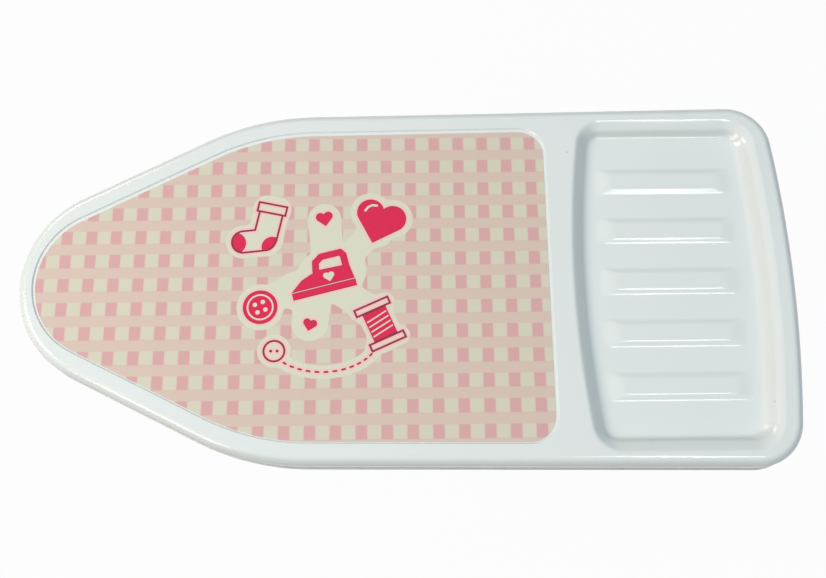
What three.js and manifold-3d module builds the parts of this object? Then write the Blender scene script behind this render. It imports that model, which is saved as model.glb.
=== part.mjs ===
// Toy ironing board: a moulded board with a sunken iron rest, on crossed folding legs of steel tube.
// Millimetres, +X from the nose to the heel, +Y to the back, +Z up.
// The origin is on the floor under the board's middle.
// The board is a single moulded shell, and the legs stand open at rest.
import * as THREE from "three";
import { mergeVertices } from "three/addons/utils/BufferGeometryUtils.js";
import Module from "manifold-3d";

const wasm = await Module();
wasm.setup();

// Board outline, measured on the wall above the skirt's lip
const BOARD_LENGTH = 472.8;
const NOSE_RADIUS = 62.4;
const FLANK_ANGLE = 26.7;
const SHOULDER_RADIUS = 154;
const HEEL_HALF_WIDTH = 114;
const SIDE_SPLAY_ANGLE = 0.73;
const HEEL_CORNER_RADIUS = 28;
const HEEL_ARC_RADIUS = 810;

// Board section
const SHELL_WALL = 2.5;
const SKIRT_DEPTH = 20;
const EDGE_RADIUS = 6;
const LIP_HEIGHT = 2.2;
const LIP_OVERHANG = 0.8;

// Printed cover in its recess
const RECESS_DEPTH = 0.75;
const RECESS_INSET = 13;
const RECESS_NOSE_INSET = 9.7;
const RECESS_TO_REST = 17.3;
const RECESS_CORNER_RADIUS = 17;
const COVER_THICKNESS = 0.25;
const COVER_GAP = 1.3;
const COVER_FRONT_SHIFT = 0.8;

// Iron rest, measured where its wall meets its rounded lip
const REST_DEPTH = 8;
const REST_LENGTH = 116.2;
const REST_HEEL_MARGIN = 15.9;
const REST_HALF_WIDTH = 99.3;
const REST_LIP_RADIUS = 5;
const REST_SIDE_LIP_RUN = 6.9;
const REST_NOSE_ARC_RADIUS = 640;
const REST_NOSE_CORNER_RADIUS = 12.5;
const REST_HEEL_CORNER_RADIUS = 13.5;
const REST_NOSE_RUN = 8.4;
const REST_HEEL_RUN = 11.5;
const REST_SIDE_RUN = 5.3;

// Ribs on the floor of the iron rest
const RIB_COUNT = 5;
const RIB_PITCH = 32.6;
const RIB_WIDTH = 18.4;
const RIB_HEIGHT = 1.35;
const RIB_LENGTH = 90;
const RIB_NOSE_MARGIN = 12.2;
const RIB_FRONT_RUN = 4.9;
const RIB_BACK_RUN = 5;
const RIB_END_RUN = 13;
const RIB_CORNER_RADIUS = 4.5;

// Stiffeners and screw bosses under the board
const STIFFENER_DEPTH = 5;
const STIFFENER_THICKNESS = 1.6;
const STIFFENER_HALF_SPACING = 76;
const STIFFENER_PITCH = 48;
const STIFFENER_NOSE_MARGIN = 46.4;
const STIFFENER_COUNT = 6;
const BOSS_DEPTH = 6;
const BOSS_RADIUS = 4.2;
const BOSS_HOLE_RADIUS = 1.7;

// Legs
const STANDING_ANGLE = 56.81;
const LEG_PLANE_DROP = 21.5;
const HINGE_NOSE_MARGIN = 95.4;
const FOOT_HEEL_MARGIN = 30.4;
const FOOT_TO_SLIDE_BAR = 17;
const TUBE_RADIUS = 4;
const TUBE_WALL = 0.8;
const TUBE_END_OVERRUN = 4.5;
const OUTER_TUBE_Y = 57.5;
const INNER_TUBE_Y = 44.5;
const FOOT_BAR_RADIUS = 4.5;
const FOOT_BAR_WALL = 0.9;
const OUTER_FOOT_HALF_LENGTH = 84;
const INNER_FOOT_HALF_LENGTH = 68;
const BRACE_RADIUS = 3.2;
const BRACE_WALL = 0.7;
const BRACE_REACH = 100;
const SLIDE_BAR_RADIUS = 2.3;
const SLIDE_BAR_END = 0.6;

// Foot caps and tube plugs
const CAP_RADIUS = 5.6;
const CAP_TREAD_DEPTH = 0.5;
const CAP_LENGTH = 17;
const CAP_END_WALL = 2;
const CAP_END_ROUNDING = 1.6;
const PLUG_SHANK = 1.6;
const PLUG_HEAD = 1.5;

// Pins, rivets and washers
const PIN_RADIUS = 1.8;
const PIN_HEAD_RADIUS = 3.4;
const PIN_HEAD_HEIGHT = 1.5;
const WASHER_RADIUS = 4.4;

// Hinge brackets
const BRACKET_WALL = 2.8;
const BRACKET_SIDE_CLEARANCE = 0.7;
const BRACKET_EYE_RADIUS = 5.6;
const BRACKET_BASE_LENGTH = 30;
const BRACKET_BASE_THICKNESS = 3;
const BRACKET_SCREW_SPACING = 22;

// Slide rails
const RAIL_THICKNESS = 4;
const RAIL_Y = 29;
const SLOT_CLEARANCE = 0.3;
const SLEEVE_RADIUS = 3.5;
const SLEEVE_LENGTH = 8;
const RAIL_LOWER_LIP = 3;
const RAIL_NOSE_MARGIN = 12;
const RAIL_HEEL_MARGIN = 6;
const DETENT_DEPTH = 1.2;
const DETENT_PITCH = 17;
const DETENT_COUNT = 3;
const RAIL_FLANGE_WIDTH = 14;
const RAIL_FLANGE_LENGTH = 14;
const RAIL_FLANGE_THICKNESS = 3;
const RAIL_STEP_MARGIN = 2;
const RAIL_FLANGE_MARGIN = 0.5;

// Screws
const SCREW_RADIUS = 1.4;
const SCREW_LENGTH = 5;
const SCREW_HEAD_RADIUS = 2.9;
const SCREW_HEAD_HEIGHT = 1.6;

// Clip for the folded foot bar
const CLIP_LENGTH = 20;
const CLIP_WALL = 1.8;
const CLIP_REACH = 3;
const CLIP_CLEARANCE = 0.5;

// Fit and modelling values
const FIT_GAP = 0.3;
const OVERRUN = 1;
const WELD_TOLERANCE = 1e-4;
const ROUND_SIDES = 20;
const SMALL_SIDES = 12;
const HEEL_ARC_STEPS = 3;
const HEEL_CORNER_STEPS = 8;
const SHOULDER_STEPS = 6;
const NOSE_STEPS = 12;
const EDGE_STEPS = 4;
const REST_ARC_STEPS = 4;
const REST_CORNER_STEPS = 6;
const RIB_CORNER_STEPS = 3;

// The rest wall from the rim to the floor: shares of its run at the ends, of its run at the sides, of its depth
const REST_WALL_SHARES = [
  [0, 0, 0],
  [0.06, 0.08, 0.0125],
  [0.11, 0.15, 0.0375],
  [0.17, 0.22, 0.085],
  [0.24, 0.32, 0.1625],
  [0.32, 0.46, 0.275],
  [0.38, 0.59, 0.3875],
  [0.425, 0.665, 0.4875],
  [0.52, 0.73, 0.675],
  [0.605, 0.78, 0.825],
  [0.695, 0.85, 0.9375],
  [0.815, 0.925, 0.984],
  [1, 1, 1],
];

// Shares of a rib's edge run, and of its height, from the floor up
const RIB_EDGE_SHARES = [
  [0, 0],
  [0.24, 0.12],
  [0.5, 0.5],
  [0.76, 0.88],
  [1, 1],
];

// Places along the board that follow from the values above
const NOSE_X = -BOARD_LENGTH / 2;
const HEEL_X = BOARD_LENGTH / 2;
const REST_HEEL_X = HEEL_X - REST_HEEL_MARGIN;
const REST_NOSE_X = REST_HEEL_X - REST_LENGTH;
const RECESS_HEEL_X = REST_NOSE_X - RECESS_TO_REST;
const RIB_NOSE_X = REST_NOSE_X + RIB_NOSE_MARGIN;
const RIB_HEEL_X = RIB_NOSE_X + RIB_LENGTH;

// The folded legs fill the board from the hinge to the foot bar, and the slide bar lies just before that bar
const HINGE_X = NOSE_X + HINGE_NOSE_MARGIN;
const FOOT_FOLDED_X = HEEL_X - FOOT_HEEL_MARGIN;
const SLIDE_FOLDED_X = FOOT_FOLDED_X - FOOT_TO_SLIDE_BAR;
const LEG_REACH = FOOT_FOLDED_X - HINGE_X;
const UPPER_ARM = (SLIDE_FOLDED_X - HINGE_X) / 2;
const LOWER_ARM = LEG_REACH - UPPER_ARM;

// Standing, the legs are the two equal diagonals under the hinges and the slide bar
const OPEN_ANGLE = THREE.MathUtils.degToRad(STANDING_ANGLE);
const TREAD_RADIUS = CAP_RADIUS - CAP_TREAD_DEPTH;
const HINGE_Z = TREAD_RADIUS + LEG_REACH * Math.sin(OPEN_ANGLE);
const PIVOT_X = HINGE_X + UPPER_ARM * Math.cos(OPEN_ANGLE);
const PIVOT_Z = HINGE_Z - UPPER_ARM * Math.sin(OPEN_ANGLE);
const SLIDE_OPEN_X = HINGE_X + 2 * UPPER_ARM * Math.cos(OPEN_ANGLE);

// Heights of the board
const TOTAL_HEIGHT = HINGE_Z + LEG_PLANE_DROP;
const SHELL_BOTTOM = TOTAL_HEIGHT - SKIRT_DEPTH;
const RECESS_FLOOR = TOTAL_HEIGHT - RECESS_DEPTH;
const CEILING = RECESS_FLOOR - SHELL_WALL;
const REST_FLOOR = TOTAL_HEIGHT - REST_DEPTH;
const REST_UNDERSIDE = REST_FLOOR - SHELL_WALL;
const BOSS_FACE = CEILING - BOSS_DEPTH;
const SLOT_HALF_HEIGHT = SLEEVE_RADIUS + SLOT_CLEARANCE;
const SIDES = [["front", -1], ["back", 1]];

// Materials
function finish(color, roughness, metalness = 0) {
  return () => new THREE.MeshStandardMaterial({ color, roughness, metalness });
}

const whiteShell = finish(0xe9eeec, 0.18);
const printedFilm = finish(0xecc9c6, 0.3);
const whiteNylon = finish(0xe4e6e3, 0.45);
const legPaint = finish(0xeceeed, 0.32, 0.1);
const pinkPlastic = finish(0xe79bb0, 0.4);
const bareSteel = finish(0xb9bcc0, 0.3, 0.9);

const board = new THREE.Group();
const outerLeg = new THREE.Group();
const innerLeg = new THREE.Group();

// Solids

function solidOf(geometry) {
  const bare = geometry.clone();
  bare.deleteAttribute("normal");
  bare.deleteAttribute("uv");
  const merged = mergeVertices(bare, WELD_TOLERANCE);
  return new wasm.Manifold(new wasm.Mesh({
    numProp: 3,
    vertProperties: new Float32Array(merged.attributes.position.array),
    triVerts: new Uint32Array(merged.index.array),
  }));
}

function geometryOf(solid) {
  const mesh = solid.getMesh();
  const geometry = new THREE.BufferGeometry();
  geometry.setAttribute("position", new THREE.BufferAttribute(mesh.vertProperties, 3));
  geometry.setIndex(new THREE.BufferAttribute(mesh.triVerts, 1));
  geometry.computeVertexNormals();
  return geometry;
}

function addPiece(group, name, shape, material) {
  const geometry = shape.isBufferGeometry ? shape : geometryOf(shape);
  const mesh = new THREE.Mesh(geometry, material());
  mesh.name = name;
  group.add(mesh);
}

/** A closed body through rings of equally many points, each ring a list of Vector2 with its height. */
function loft(rings) {
  const count = rings[0].points.length;
  const positions = rings.flatMap(({ points, z }) => points.flatMap((point) => [point.x, point.y, z]));
  const index = [];
  for (let ring = 0; ring + 1 < rings.length; ring += 1) {
    for (let step = 0; step < count; step += 1) {
      const low = ring * count + step;
      const lowNext = ring * count + (step + 1) % count;
      index.push(low, lowNext, lowNext + count, low, lowNext + count, low + count);
    }
  }
  const top = (rings.length - 1) * count;
  for (const [a, b, c] of THREE.ShapeUtils.triangulateShape(rings[0].points, [])) {
    index.push(a, c, b);
  }
  for (const [a, b, c] of THREE.ShapeUtils.triangulateShape(rings.at(-1).points, [])) {
    index.push(top + a, top + b, top + c);
  }
  const geometry = new THREE.BufferGeometry();
  geometry.setAttribute("position", new THREE.Float32BufferAttribute(positions, 3));
  geometry.setIndex(index);
  return geometry;
}

function plate(points, zLow, zHigh) {
  return loft([{ points, z: zLow }, { points, z: zHigh }]);
}

/** A cylinder with its axis along Y, between two places on Y. */
function rodAlongY(radius, x, yLow, yHigh, z, sides = ROUND_SIDES) {
  return new THREE.CylinderGeometry(radius, radius, yHigh - yLow, sides).translate(x, (yLow + yHigh) / 2, z);
}

function rodAlongX(radius, xLow, xHigh, y, z, sides = ROUND_SIDES) {
  const rod = new THREE.CylinderGeometry(radius, radius, xHigh - xLow, sides).rotateZ(-Math.PI / 2);
  return rod.translate((xLow + xHigh) / 2, y, z);
}

function rodAlongZ(radius, x, y, zLow, zHigh, sides = ROUND_SIDES) {
  const rod = new THREE.CylinderGeometry(radius, radius, zHigh - zLow, sides).rotateX(Math.PI / 2);
  return rod.translate(x, y, (zLow + zHigh) / 2);
}

function block(xLow, xHigh, yLow, yHigh, zLow, zHigh) {
  const box = new THREE.BoxGeometry(xHigh - xLow, yHigh - yLow, zHigh - zLow);
  return box.translate((xLow + xHigh) / 2, (yLow + yHigh) / 2, (zLow + zHigh) / 2);
}

/** An outline drawn in X and Z, given its thickness along Y. */
function sheetAlongY(shape, yLow, yHigh) {
  const depth = yHigh - yLow;
  const sheet = new THREE.ExtrudeGeometry(shape, { depth, bevelEnabled: false, curveSegments: SMALL_SIDES });
  return sheet.rotateX(Math.PI / 2).translate(0, yHigh, 0);
}

function tubeAlongY(radius, wall, yLow, yHigh) {
  const bore = rodAlongY(radius - wall, 0, yLow - OVERRUN, yHigh + OVERRUN, 0);
  return solidOf(rodAlongY(radius, 0, yLow, yHigh, 0)).subtract(solidOf(bore));
}

/** A ring or sleeve with its axis along Y, standing clear of the rod that it holds. */
function ringAlongY(radius, rodRadius, x, yLow, yHigh) {
  const bore = rodAlongY(rodRadius + FIT_GAP, x, yLow - OVERRUN, yHigh + OVERRUN, 0);
  return solidOf(rodAlongY(radius, x, yLow, yHigh, 0)).subtract(solidOf(bore));
}

// Plan outlines

function arc(centreX, centreY, radius, from, to, steps) {
  const points = [];
  for (let step = 0; step <= steps; step += 1) {
    const angle = from + (to - from) * step / steps;
    points.push(new THREE.Vector2(centreX + radius * Math.cos(angle), centreY + radius * Math.sin(angle)));
  }
  return points;
}

/** The back half runs from the heel to the nose, and the front half is its mirror image. */
function mirrored(half) {
  const front = half.slice(1, -1).reverse().map((point) => new THREE.Vector2(point.x, -point.y));
  return [...half, ...front];
}

/** The point whose distances along two directions are given. */
function meetingPoint(firstAngle, firstReach, secondAngle, secondReach) {
  const spread = Math.sin(secondAngle - firstAngle);
  return new THREE.Vector2(
    (firstReach * Math.sin(secondAngle) - secondReach * Math.sin(firstAngle)) / spread,
    (secondReach * Math.cos(firstAngle) - firstReach * Math.cos(secondAngle)) / spread,
  );
}

const NOSE_CENTRE_X = NOSE_X + NOSE_RADIUS;
const HEEL_ARC_CENTRE_X = HEEL_X - HEEL_ARC_RADIUS;
const FLANK_NORMAL = Math.PI / 2 + THREE.MathUtils.degToRad(FLANK_ANGLE);
const SIDE_NORMAL = Math.PI / 2 + THREE.MathUtils.degToRad(SIDE_SPLAY_ANGLE);
const FLANK_REACH = NOSE_RADIUS + NOSE_CENTRE_X * Math.cos(FLANK_NORMAL);
const SIDE_REACH = HEEL_X * Math.cos(SIDE_NORMAL) + HEEL_HALF_WIDTH * Math.sin(SIDE_NORMAL);
const SHOULDER = meetingPoint(
  FLANK_NORMAL,
  FLANK_REACH - SHOULDER_RADIUS,
  SIDE_NORMAL,
  SIDE_REACH - SHOULDER_RADIUS,
);

/** The centre of the arc that joins the side line to the heel's arc. */
function heelCorner() {
  const along = SIDE_NORMAL - Math.PI / 2;
  const startX = (SIDE_REACH - HEEL_CORNER_RADIUS) * Math.cos(SIDE_NORMAL) - HEEL_ARC_CENTRE_X;
  const startY = (SIDE_REACH - HEEL_CORNER_RADIUS) * Math.sin(SIDE_NORMAL);
  const half = startX * Math.cos(along) + startY * Math.sin(along);
  const rest = startX ** 2 + startY ** 2 - (HEEL_ARC_RADIUS - HEEL_CORNER_RADIUS) ** 2;
  const travel = Math.sqrt(half ** 2 - rest) - half;
  return new THREE.Vector2(
    HEEL_ARC_CENTRE_X + startX + travel * Math.cos(along),
    startY + travel * Math.sin(along),
  );
}

const HEEL_CORNER = heelCorner();

/** The nose, flank and shoulder, taken in by an inset. The tip of the nose may be taken in by another. */
function noseEnd(inset, tipInset = inset) {
  const tipX = NOSE_X + tipInset;
  const reach = FLANK_REACH - inset;
  const radius = (reach - tipX * Math.cos(FLANK_NORMAL)) / (1 + Math.cos(FLANK_NORMAL));
  return [
    ...arc(SHOULDER.x, SHOULDER.y, SHOULDER_RADIUS - inset, SIDE_NORMAL, FLANK_NORMAL, SHOULDER_STEPS),
    ...arc(tipX + radius, 0, radius, FLANK_NORMAL, Math.PI, NOSE_STEPS),
  ];
}

function boardOutline(inset) {
  const turn = Math.atan2(HEEL_CORNER.y, HEEL_CORNER.x - HEEL_ARC_CENTRE_X);
  const cornerRadius = HEEL_CORNER_RADIUS - inset;
  return mirrored([
    ...arc(HEEL_ARC_CENTRE_X, 0, HEEL_ARC_RADIUS - inset, 0, turn, HEEL_ARC_STEPS),
    ...arc(HEEL_CORNER.x, HEEL_CORNER.y, cornerRadius, turn, SIDE_NORMAL, HEEL_CORNER_STEPS).slice(1),
    ...noseEnd(inset),
  ]);
}

/** The recess's outline, taken in by a gap: much like the board's own, cut straight towards the heel. */
function recessOutline(gap) {
  const inset = RECESS_INSET + gap;
  const heelX = RECESS_HEEL_X - gap;
  const cornerRadius = RECESS_CORNER_RADIUS - gap;
  const corner = meetingPoint(0, heelX - cornerRadius, SIDE_NORMAL, SIDE_REACH - inset - cornerRadius);
  return mirrored([
    new THREE.Vector2(heelX, 0),
    ...arc(corner.x, corner.y, cornerRadius, 0, SIDE_NORMAL, HEEL_CORNER_STEPS),
    ...noseEnd(inset, RECESS_NOSE_INSET + gap),
  ]);
}

/** The iron rest's outline, some shares of the way along its wall's runs, grown outwards by a margin. */
function restOutline(endShare, sideShare, growth) {
  const noseX = REST_NOSE_X - REST_LIP_RADIUS + endShare * (REST_LIP_RADIUS + REST_NOSE_RUN) - growth;
  const heelX = REST_HEEL_X + REST_LIP_RADIUS - endShare * (REST_LIP_RADIUS + REST_HEEL_RUN) + growth;
  const widening = REST_SIDE_LIP_RUN - sideShare * (REST_SIDE_LIP_RUN + REST_SIDE_RUN) + growth;
  const halfWidth = REST_HALF_WIDTH + widening;
  const heelRadius = REST_HEEL_CORNER_RADIUS + widening;
  const noseRadius = REST_NOSE_CORNER_RADIUS + widening;
  const heelArcRadius = heelX - HEEL_ARC_CENTRE_X;
  const noseArcCentre = noseX + REST_NOSE_ARC_RADIUS;
  const heelY = halfWidth - heelRadius;
  const noseY = halfWidth - noseRadius;
  const heelReach = Math.sqrt((heelArcRadius - heelRadius) ** 2 - heelY ** 2);
  const noseReach = Math.sqrt((REST_NOSE_ARC_RADIUS - noseRadius) ** 2 - noseY ** 2);
  const heelTurn = Math.atan2(heelY, heelReach);
  const noseTurn = Math.PI - Math.atan2(noseY, noseReach);
  const heelCornerX = HEEL_ARC_CENTRE_X + heelReach;
  const noseCornerX = noseArcCentre - noseReach;
  return mirrored([
    ...arc(HEEL_ARC_CENTRE_X, 0, heelArcRadius, 0, heelTurn, REST_ARC_STEPS).slice(0, -1),
    ...arc(heelCornerX, heelY, heelRadius, heelTurn, Math.PI / 2, REST_CORNER_STEPS),
    ...arc(noseCornerX, noseY, noseRadius, Math.PI / 2, noseTurn, REST_CORNER_STEPS),
    ...arc(noseArcCentre, 0, REST_NOSE_ARC_RADIUS, noseTurn, Math.PI, REST_ARC_STEPS).slice(1),
  ]);
}

// Top shell

/** The rounded, lipped outside of the board, as if it were filled. */
function boardBody() {
  const rings = [
    { points: boardOutline(-LIP_OVERHANG), z: SHELL_BOTTOM },
    { points: boardOutline(-LIP_OVERHANG), z: SHELL_BOTTOM + LIP_HEIGHT - LIP_OVERHANG },
    { points: boardOutline(0), z: SHELL_BOTTOM + LIP_HEIGHT },
  ];
  for (let step = 0; step <= EDGE_STEPS; step += 1) {
    const turn = Math.PI / 2 * step / EDGE_STEPS;
    rings.push({
      points: boardOutline(EDGE_RADIUS * (1 - Math.cos(turn))),
      z: TOTAL_HEIGHT - EDGE_RADIUS * (1 - Math.sin(turn)),
    });
  }
  return solidOf(loft(rings));
}

/** The hollow of the iron rest, or with growth the outside of its moulded wall. */
function restHollow(growth) {
  const rings = REST_WALL_SHARES.map(([endShare, sideShare, depthShare]) => ({
    points: restOutline(endShare, sideShare, growth),
    z: TOTAL_HEIGHT - growth - REST_DEPTH * depthShare,
  })).reverse();
  rings.push({ points: restOutline(0, 0, growth), z: TOTAL_HEIGHT + (growth ? -growth / 2 : OVERRUN) });
  return solidOf(loft(rings));
}

/** A rib's outline, a share of the way up its edges. Its back edge is gentler than its front edge. */
function ribOutline(share) {
  const radius = RIB_CORNER_RADIUS - share * RIB_FRONT_RUN / 2;
  const left = RIB_NOSE_X + share * RIB_END_RUN + radius;
  const right = RIB_HEEL_X - share * RIB_END_RUN - radius;
  const front = -RIB_WIDTH / 2 + share * RIB_FRONT_RUN + radius;
  const back = RIB_WIDTH / 2 - share * RIB_BACK_RUN - radius;
  return [
    ...arc(right, front, radius, -Math.PI / 2, 0, RIB_CORNER_STEPS),
    ...arc(right, back, radius, 0, Math.PI / 2, RIB_CORNER_STEPS),
    ...arc(left, back, radius, Math.PI / 2, Math.PI, RIB_CORNER_STEPS),
    ...arc(left, front, radius, Math.PI, 3 * Math.PI / 2, RIB_CORNER_STEPS),
  ];
}

function restRib(y) {
  const rings = [{ points: ribOutline(0), z: REST_FLOOR - SHELL_WALL / 2 }];
  for (const [runShare, heightShare] of RIB_EDGE_SHARES) {
    rings.push({ points: ribOutline(runShare), z: REST_FLOOR + RIB_HEIGHT * heightShare });
  }
  return solidOf(loft(rings).translate(0, y, 0));
}

/** The crossed ribs that stiffen the board's underside. */
function stiffeners() {
  const depthLow = CEILING - STIFFENER_DEPTH;
  const halfThickness = STIFFENER_THICKNESS / 2;
  let ribs = null;
  for (let count = 0; count < STIFFENER_COUNT; count += 1) {
    const x = NOSE_X + STIFFENER_NOSE_MARGIN + count * STIFFENER_PITCH;
    const rib = solidOf(block(
      x - halfThickness,
      x + halfThickness,
      -HEEL_HALF_WIDTH,
      HEEL_HALF_WIDTH,
      depthLow,
      RECESS_FLOOR - SHELL_WALL / 2,
    ));
    ribs = ribs ? ribs.add(rib) : rib;
  }
  for (const y of [-STIFFENER_HALF_SPACING, 0, STIFFENER_HALF_SPACING]) {
    ribs = ribs.add(solidOf(block(
      NOSE_X,
      REST_NOSE_X,
      y - halfThickness,
      y + halfThickness,
      depthLow,
      RECESS_FLOOR - SHELL_WALL / 2,
    )));
  }
  return ribs;
}

function bracketScrewPlaces(side) {
  return [-1, 1].map((end) => [HINGE_X + end * BRACKET_SCREW_SPACING / 2, side * OUTER_TUBE_Y]);
}

const RAIL_NOSE_END = SLIDE_OPEN_X - SLOT_HALF_HEIGHT - RAIL_NOSE_MARGIN;
const RAIL_LOW_TOP = REST_UNDERSIDE - FIT_GAP;
const RAIL_STEP_X = REST_NOSE_X - REST_LIP_RADIUS - SHELL_WALL - RAIL_STEP_MARGIN;
const RAIL_HIGH_END = RAIL_STEP_X - BOSS_FACE + RAIL_LOW_TOP;
const RAIL_SCREW_Y = RAIL_Y - RAIL_THICKNESS / 2 - RAIL_FLANGE_WIDTH / 2;
const RAIL_SCREW_XS = [
  RAIL_NOSE_END + RAIL_FLANGE_LENGTH / 2,
  RAIL_HIGH_END - RAIL_FLANGE_MARGIN - RAIL_FLANGE_LENGTH / 2,
];

function railScrewPlaces(side) {
  return RAIL_SCREW_XS.map((x) => [x, side * RAIL_SCREW_Y]);
}

function topShell() {
  const cavityRings = [
    { points: boardOutline(SHELL_WALL), z: SHELL_BOTTOM - OVERRUN },
    { points: boardOutline(SHELL_WALL), z: TOTAL_HEIGHT - EDGE_RADIUS },
    { points: boardOutline(EDGE_RADIUS), z: CEILING },
  ];
  const places = SIDES.flatMap(([, side]) => [...bracketScrewPlaces(side), ...railScrewPlaces(side)]);
  let cavity = solidOf(loft(cavityRings)).subtract(restHollow(SHELL_WALL)).subtract(stiffeners());
  for (const [x, y] of places) {
    cavity = cavity.subtract(solidOf(rodAlongZ(BOSS_RADIUS, x, y, BOSS_FACE, RECESS_FLOOR)));
  }
  const recess = plate(
    recessOutline(0),
    RECESS_FLOOR,
    TOTAL_HEIGHT + OVERRUN,
  );
  let shell = boardBody().subtract(cavity).subtract(restHollow(0)).subtract(solidOf(recess));
  for (let rib = 0; rib < RIB_COUNT; rib += 1) {
    shell = shell.add(restRib((rib - (RIB_COUNT - 1) / 2) * RIB_PITCH));
  }
  for (const [x, y] of places) {
    const hole = rodAlongZ(BOSS_HOLE_RADIUS, x, y, BOSS_FACE - OVERRUN, CEILING, SMALL_SIDES);
    shell = shell.subtract(solidOf(hole));
  }
  return shell;
}

addPiece(board, "top_shell", topShell(), whiteShell);

// Printed cover, a film lying on the floor of its recess
addPiece(board, "printed_cover", plate(
  recessOutline(COVER_GAP),
  RECESS_FLOOR,
  RECESS_FLOOR + COVER_THICKNESS,
).translate(0, -COVER_FRONT_SHIFT, 0), printedFilm);

// Screws

/** Pan-head screws driven up from below, their heads under a plate of the given thickness. */
function addScrews(name, placesOf, plateThickness) {
  const face = BOSS_FACE - plateThickness;
  for (const [place, side] of SIDES) {
    for (const [step, [x, y]] of placesOf(side).entries()) {
      const head = rodAlongZ(SCREW_HEAD_RADIUS, x, y, face - SCREW_HEAD_HEIGHT, face, SMALL_SIDES);
      const shank = rodAlongZ(
        SCREW_RADIUS,
        x,
        y,
        face - SCREW_HEAD_HEIGHT / 2,
        BOSS_FACE + SCREW_LENGTH,
        SMALL_SIDES,
      );
      addPiece(board, `${name}_${place}_${step + 1}`, solidOf(head).add(solidOf(shank)), bareSteel);
    }
  }
}

function screwHole(x, y) {
  return solidOf(rodAlongZ(BOSS_HOLE_RADIUS, x, y, 0, TOTAL_HEIGHT, SMALL_SIDES));
}

// Hinge brackets and pins

const EAR_INNER_Y = OUTER_TUBE_Y - TUBE_RADIUS - BRACKET_SIDE_CLEARANCE - BRACKET_WALL;
const EAR_OUTER_Y = OUTER_TUBE_Y + TUBE_RADIUS + BRACKET_SIDE_CLEARANCE;

function bracketEar() {
  const base = BOSS_FACE - BRACKET_BASE_THICKNESS / 2;
  const shape = new THREE.Shape();
  shape.moveTo(HINGE_X + BRACKET_BASE_LENGTH / 2, base);
  shape.lineTo(HINGE_X - BRACKET_BASE_LENGTH / 2, base);
  shape.lineTo(HINGE_X - BRACKET_BASE_LENGTH / 2, BOSS_FACE - BRACKET_BASE_THICKNESS);
  shape.lineTo(HINGE_X - BRACKET_EYE_RADIUS, HINGE_Z);
  shape.absarc(HINGE_X, HINGE_Z, BRACKET_EYE_RADIUS, Math.PI, 2 * Math.PI, false);
  shape.lineTo(HINGE_X + BRACKET_BASE_LENGTH / 2, BOSS_FACE - BRACKET_BASE_THICKNESS);
  return shape;
}

function hingeBracket(side) {
  const [low, high] = [side * EAR_INNER_Y, side * (EAR_OUTER_Y + BRACKET_WALL)].sort((a, b) => a - b);
  let bracket = solidOf(block(
    HINGE_X - BRACKET_BASE_LENGTH / 2,
    HINGE_X + BRACKET_BASE_LENGTH / 2,
    low,
    high,
    BOSS_FACE - BRACKET_BASE_THICKNESS,
    BOSS_FACE,
  ));
  for (const ear of [low, high - BRACKET_WALL]) {
    bracket = bracket.add(solidOf(sheetAlongY(bracketEar(), ear, ear + BRACKET_WALL)));
  }
  const holeRadius = PIN_RADIUS + FIT_GAP;
  const pinHole = rodAlongY(holeRadius, HINGE_X, low - OVERRUN, high + OVERRUN, HINGE_Z, SMALL_SIDES);
  bracket = bracket.subtract(solidOf(pinHole));
  for (const [x, y] of bracketScrewPlaces(side)) {
    bracket = bracket.subtract(screwHole(x, y));
  }
  return bracket;
}

/** A headed pin: the head stands off the face by the fit gap, and the other end is flush. */
function headedPin(side, x, z, flushY, headY) {
  const [low, high] = [side * flushY, side * (headY + FIT_GAP + PIN_HEAD_HEIGHT / 2)].sort((a, b) => a - b);
  const headStart = headY + FIT_GAP;
  const headEnds = [side * headStart, side * (headStart + PIN_HEAD_HEIGHT)];
  const [headLow, headHigh] = headEnds.sort((a, b) => a - b);
  const shank = solidOf(rodAlongY(PIN_RADIUS, x, low, high, z, SMALL_SIDES));
  return shank.add(solidOf(rodAlongY(PIN_HEAD_RADIUS, x, headLow, headHigh, z)));
}

for (const [place, side] of SIDES) {
  addPiece(board, `hinge_bracket_${place}`, hingeBracket(side), whiteNylon);
  const pin = headedPin(side, HINGE_X, HINGE_Z, EAR_INNER_Y, EAR_OUTER_Y + BRACKET_WALL);
  addPiece(board, `hinge_pin_${place}`, pin, bareSteel);
}
addScrews("bracket_screw", bracketScrewPlaces, BRACKET_BASE_THICKNESS);

// Slide rails

const RAIL_HEEL_END = SLIDE_FOLDED_X + SLOT_HALF_HEIGHT + RAIL_HEEL_MARGIN;
const RAIL_BOTTOM = HINGE_Z - SLOT_HALF_HEIGHT - RAIL_LOWER_LIP;

/** The slot, with shallow detents over it where the bar stops at each height. */
function railSlot() {
  const slot = new THREE.Path();
  const top = HINGE_Z + SLOT_HALF_HEIGHT;
  const detentAngle = Math.acos(1 - DETENT_DEPTH / SLOT_HALF_HEIGHT);
  const detentHalf = SLOT_HALF_HEIGHT * Math.sin(detentAngle);
  slot.absarc(SLIDE_OPEN_X, HINGE_Z, SLOT_HALF_HEIGHT, 3 * Math.PI / 2, Math.PI / 2, true);
  for (let detent = 1; detent <= DETENT_COUNT; detent += 1) {
    const x = SLIDE_OPEN_X + detent * DETENT_PITCH;
    slot.lineTo(x - detentHalf, top);
    slot.absarc(
      x,
      top + DETENT_DEPTH - SLOT_HALF_HEIGHT,
      SLOT_HALF_HEIGHT,
      Math.PI / 2 + detentAngle,
      Math.PI / 2 - detentAngle,
      true,
    );
  }
  slot.absarc(SLIDE_FOLDED_X, HINGE_Z, SLOT_HALF_HEIGHT, Math.PI / 2, -Math.PI / 2, true);
  slot.closePath();
  return slot;
}

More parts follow.
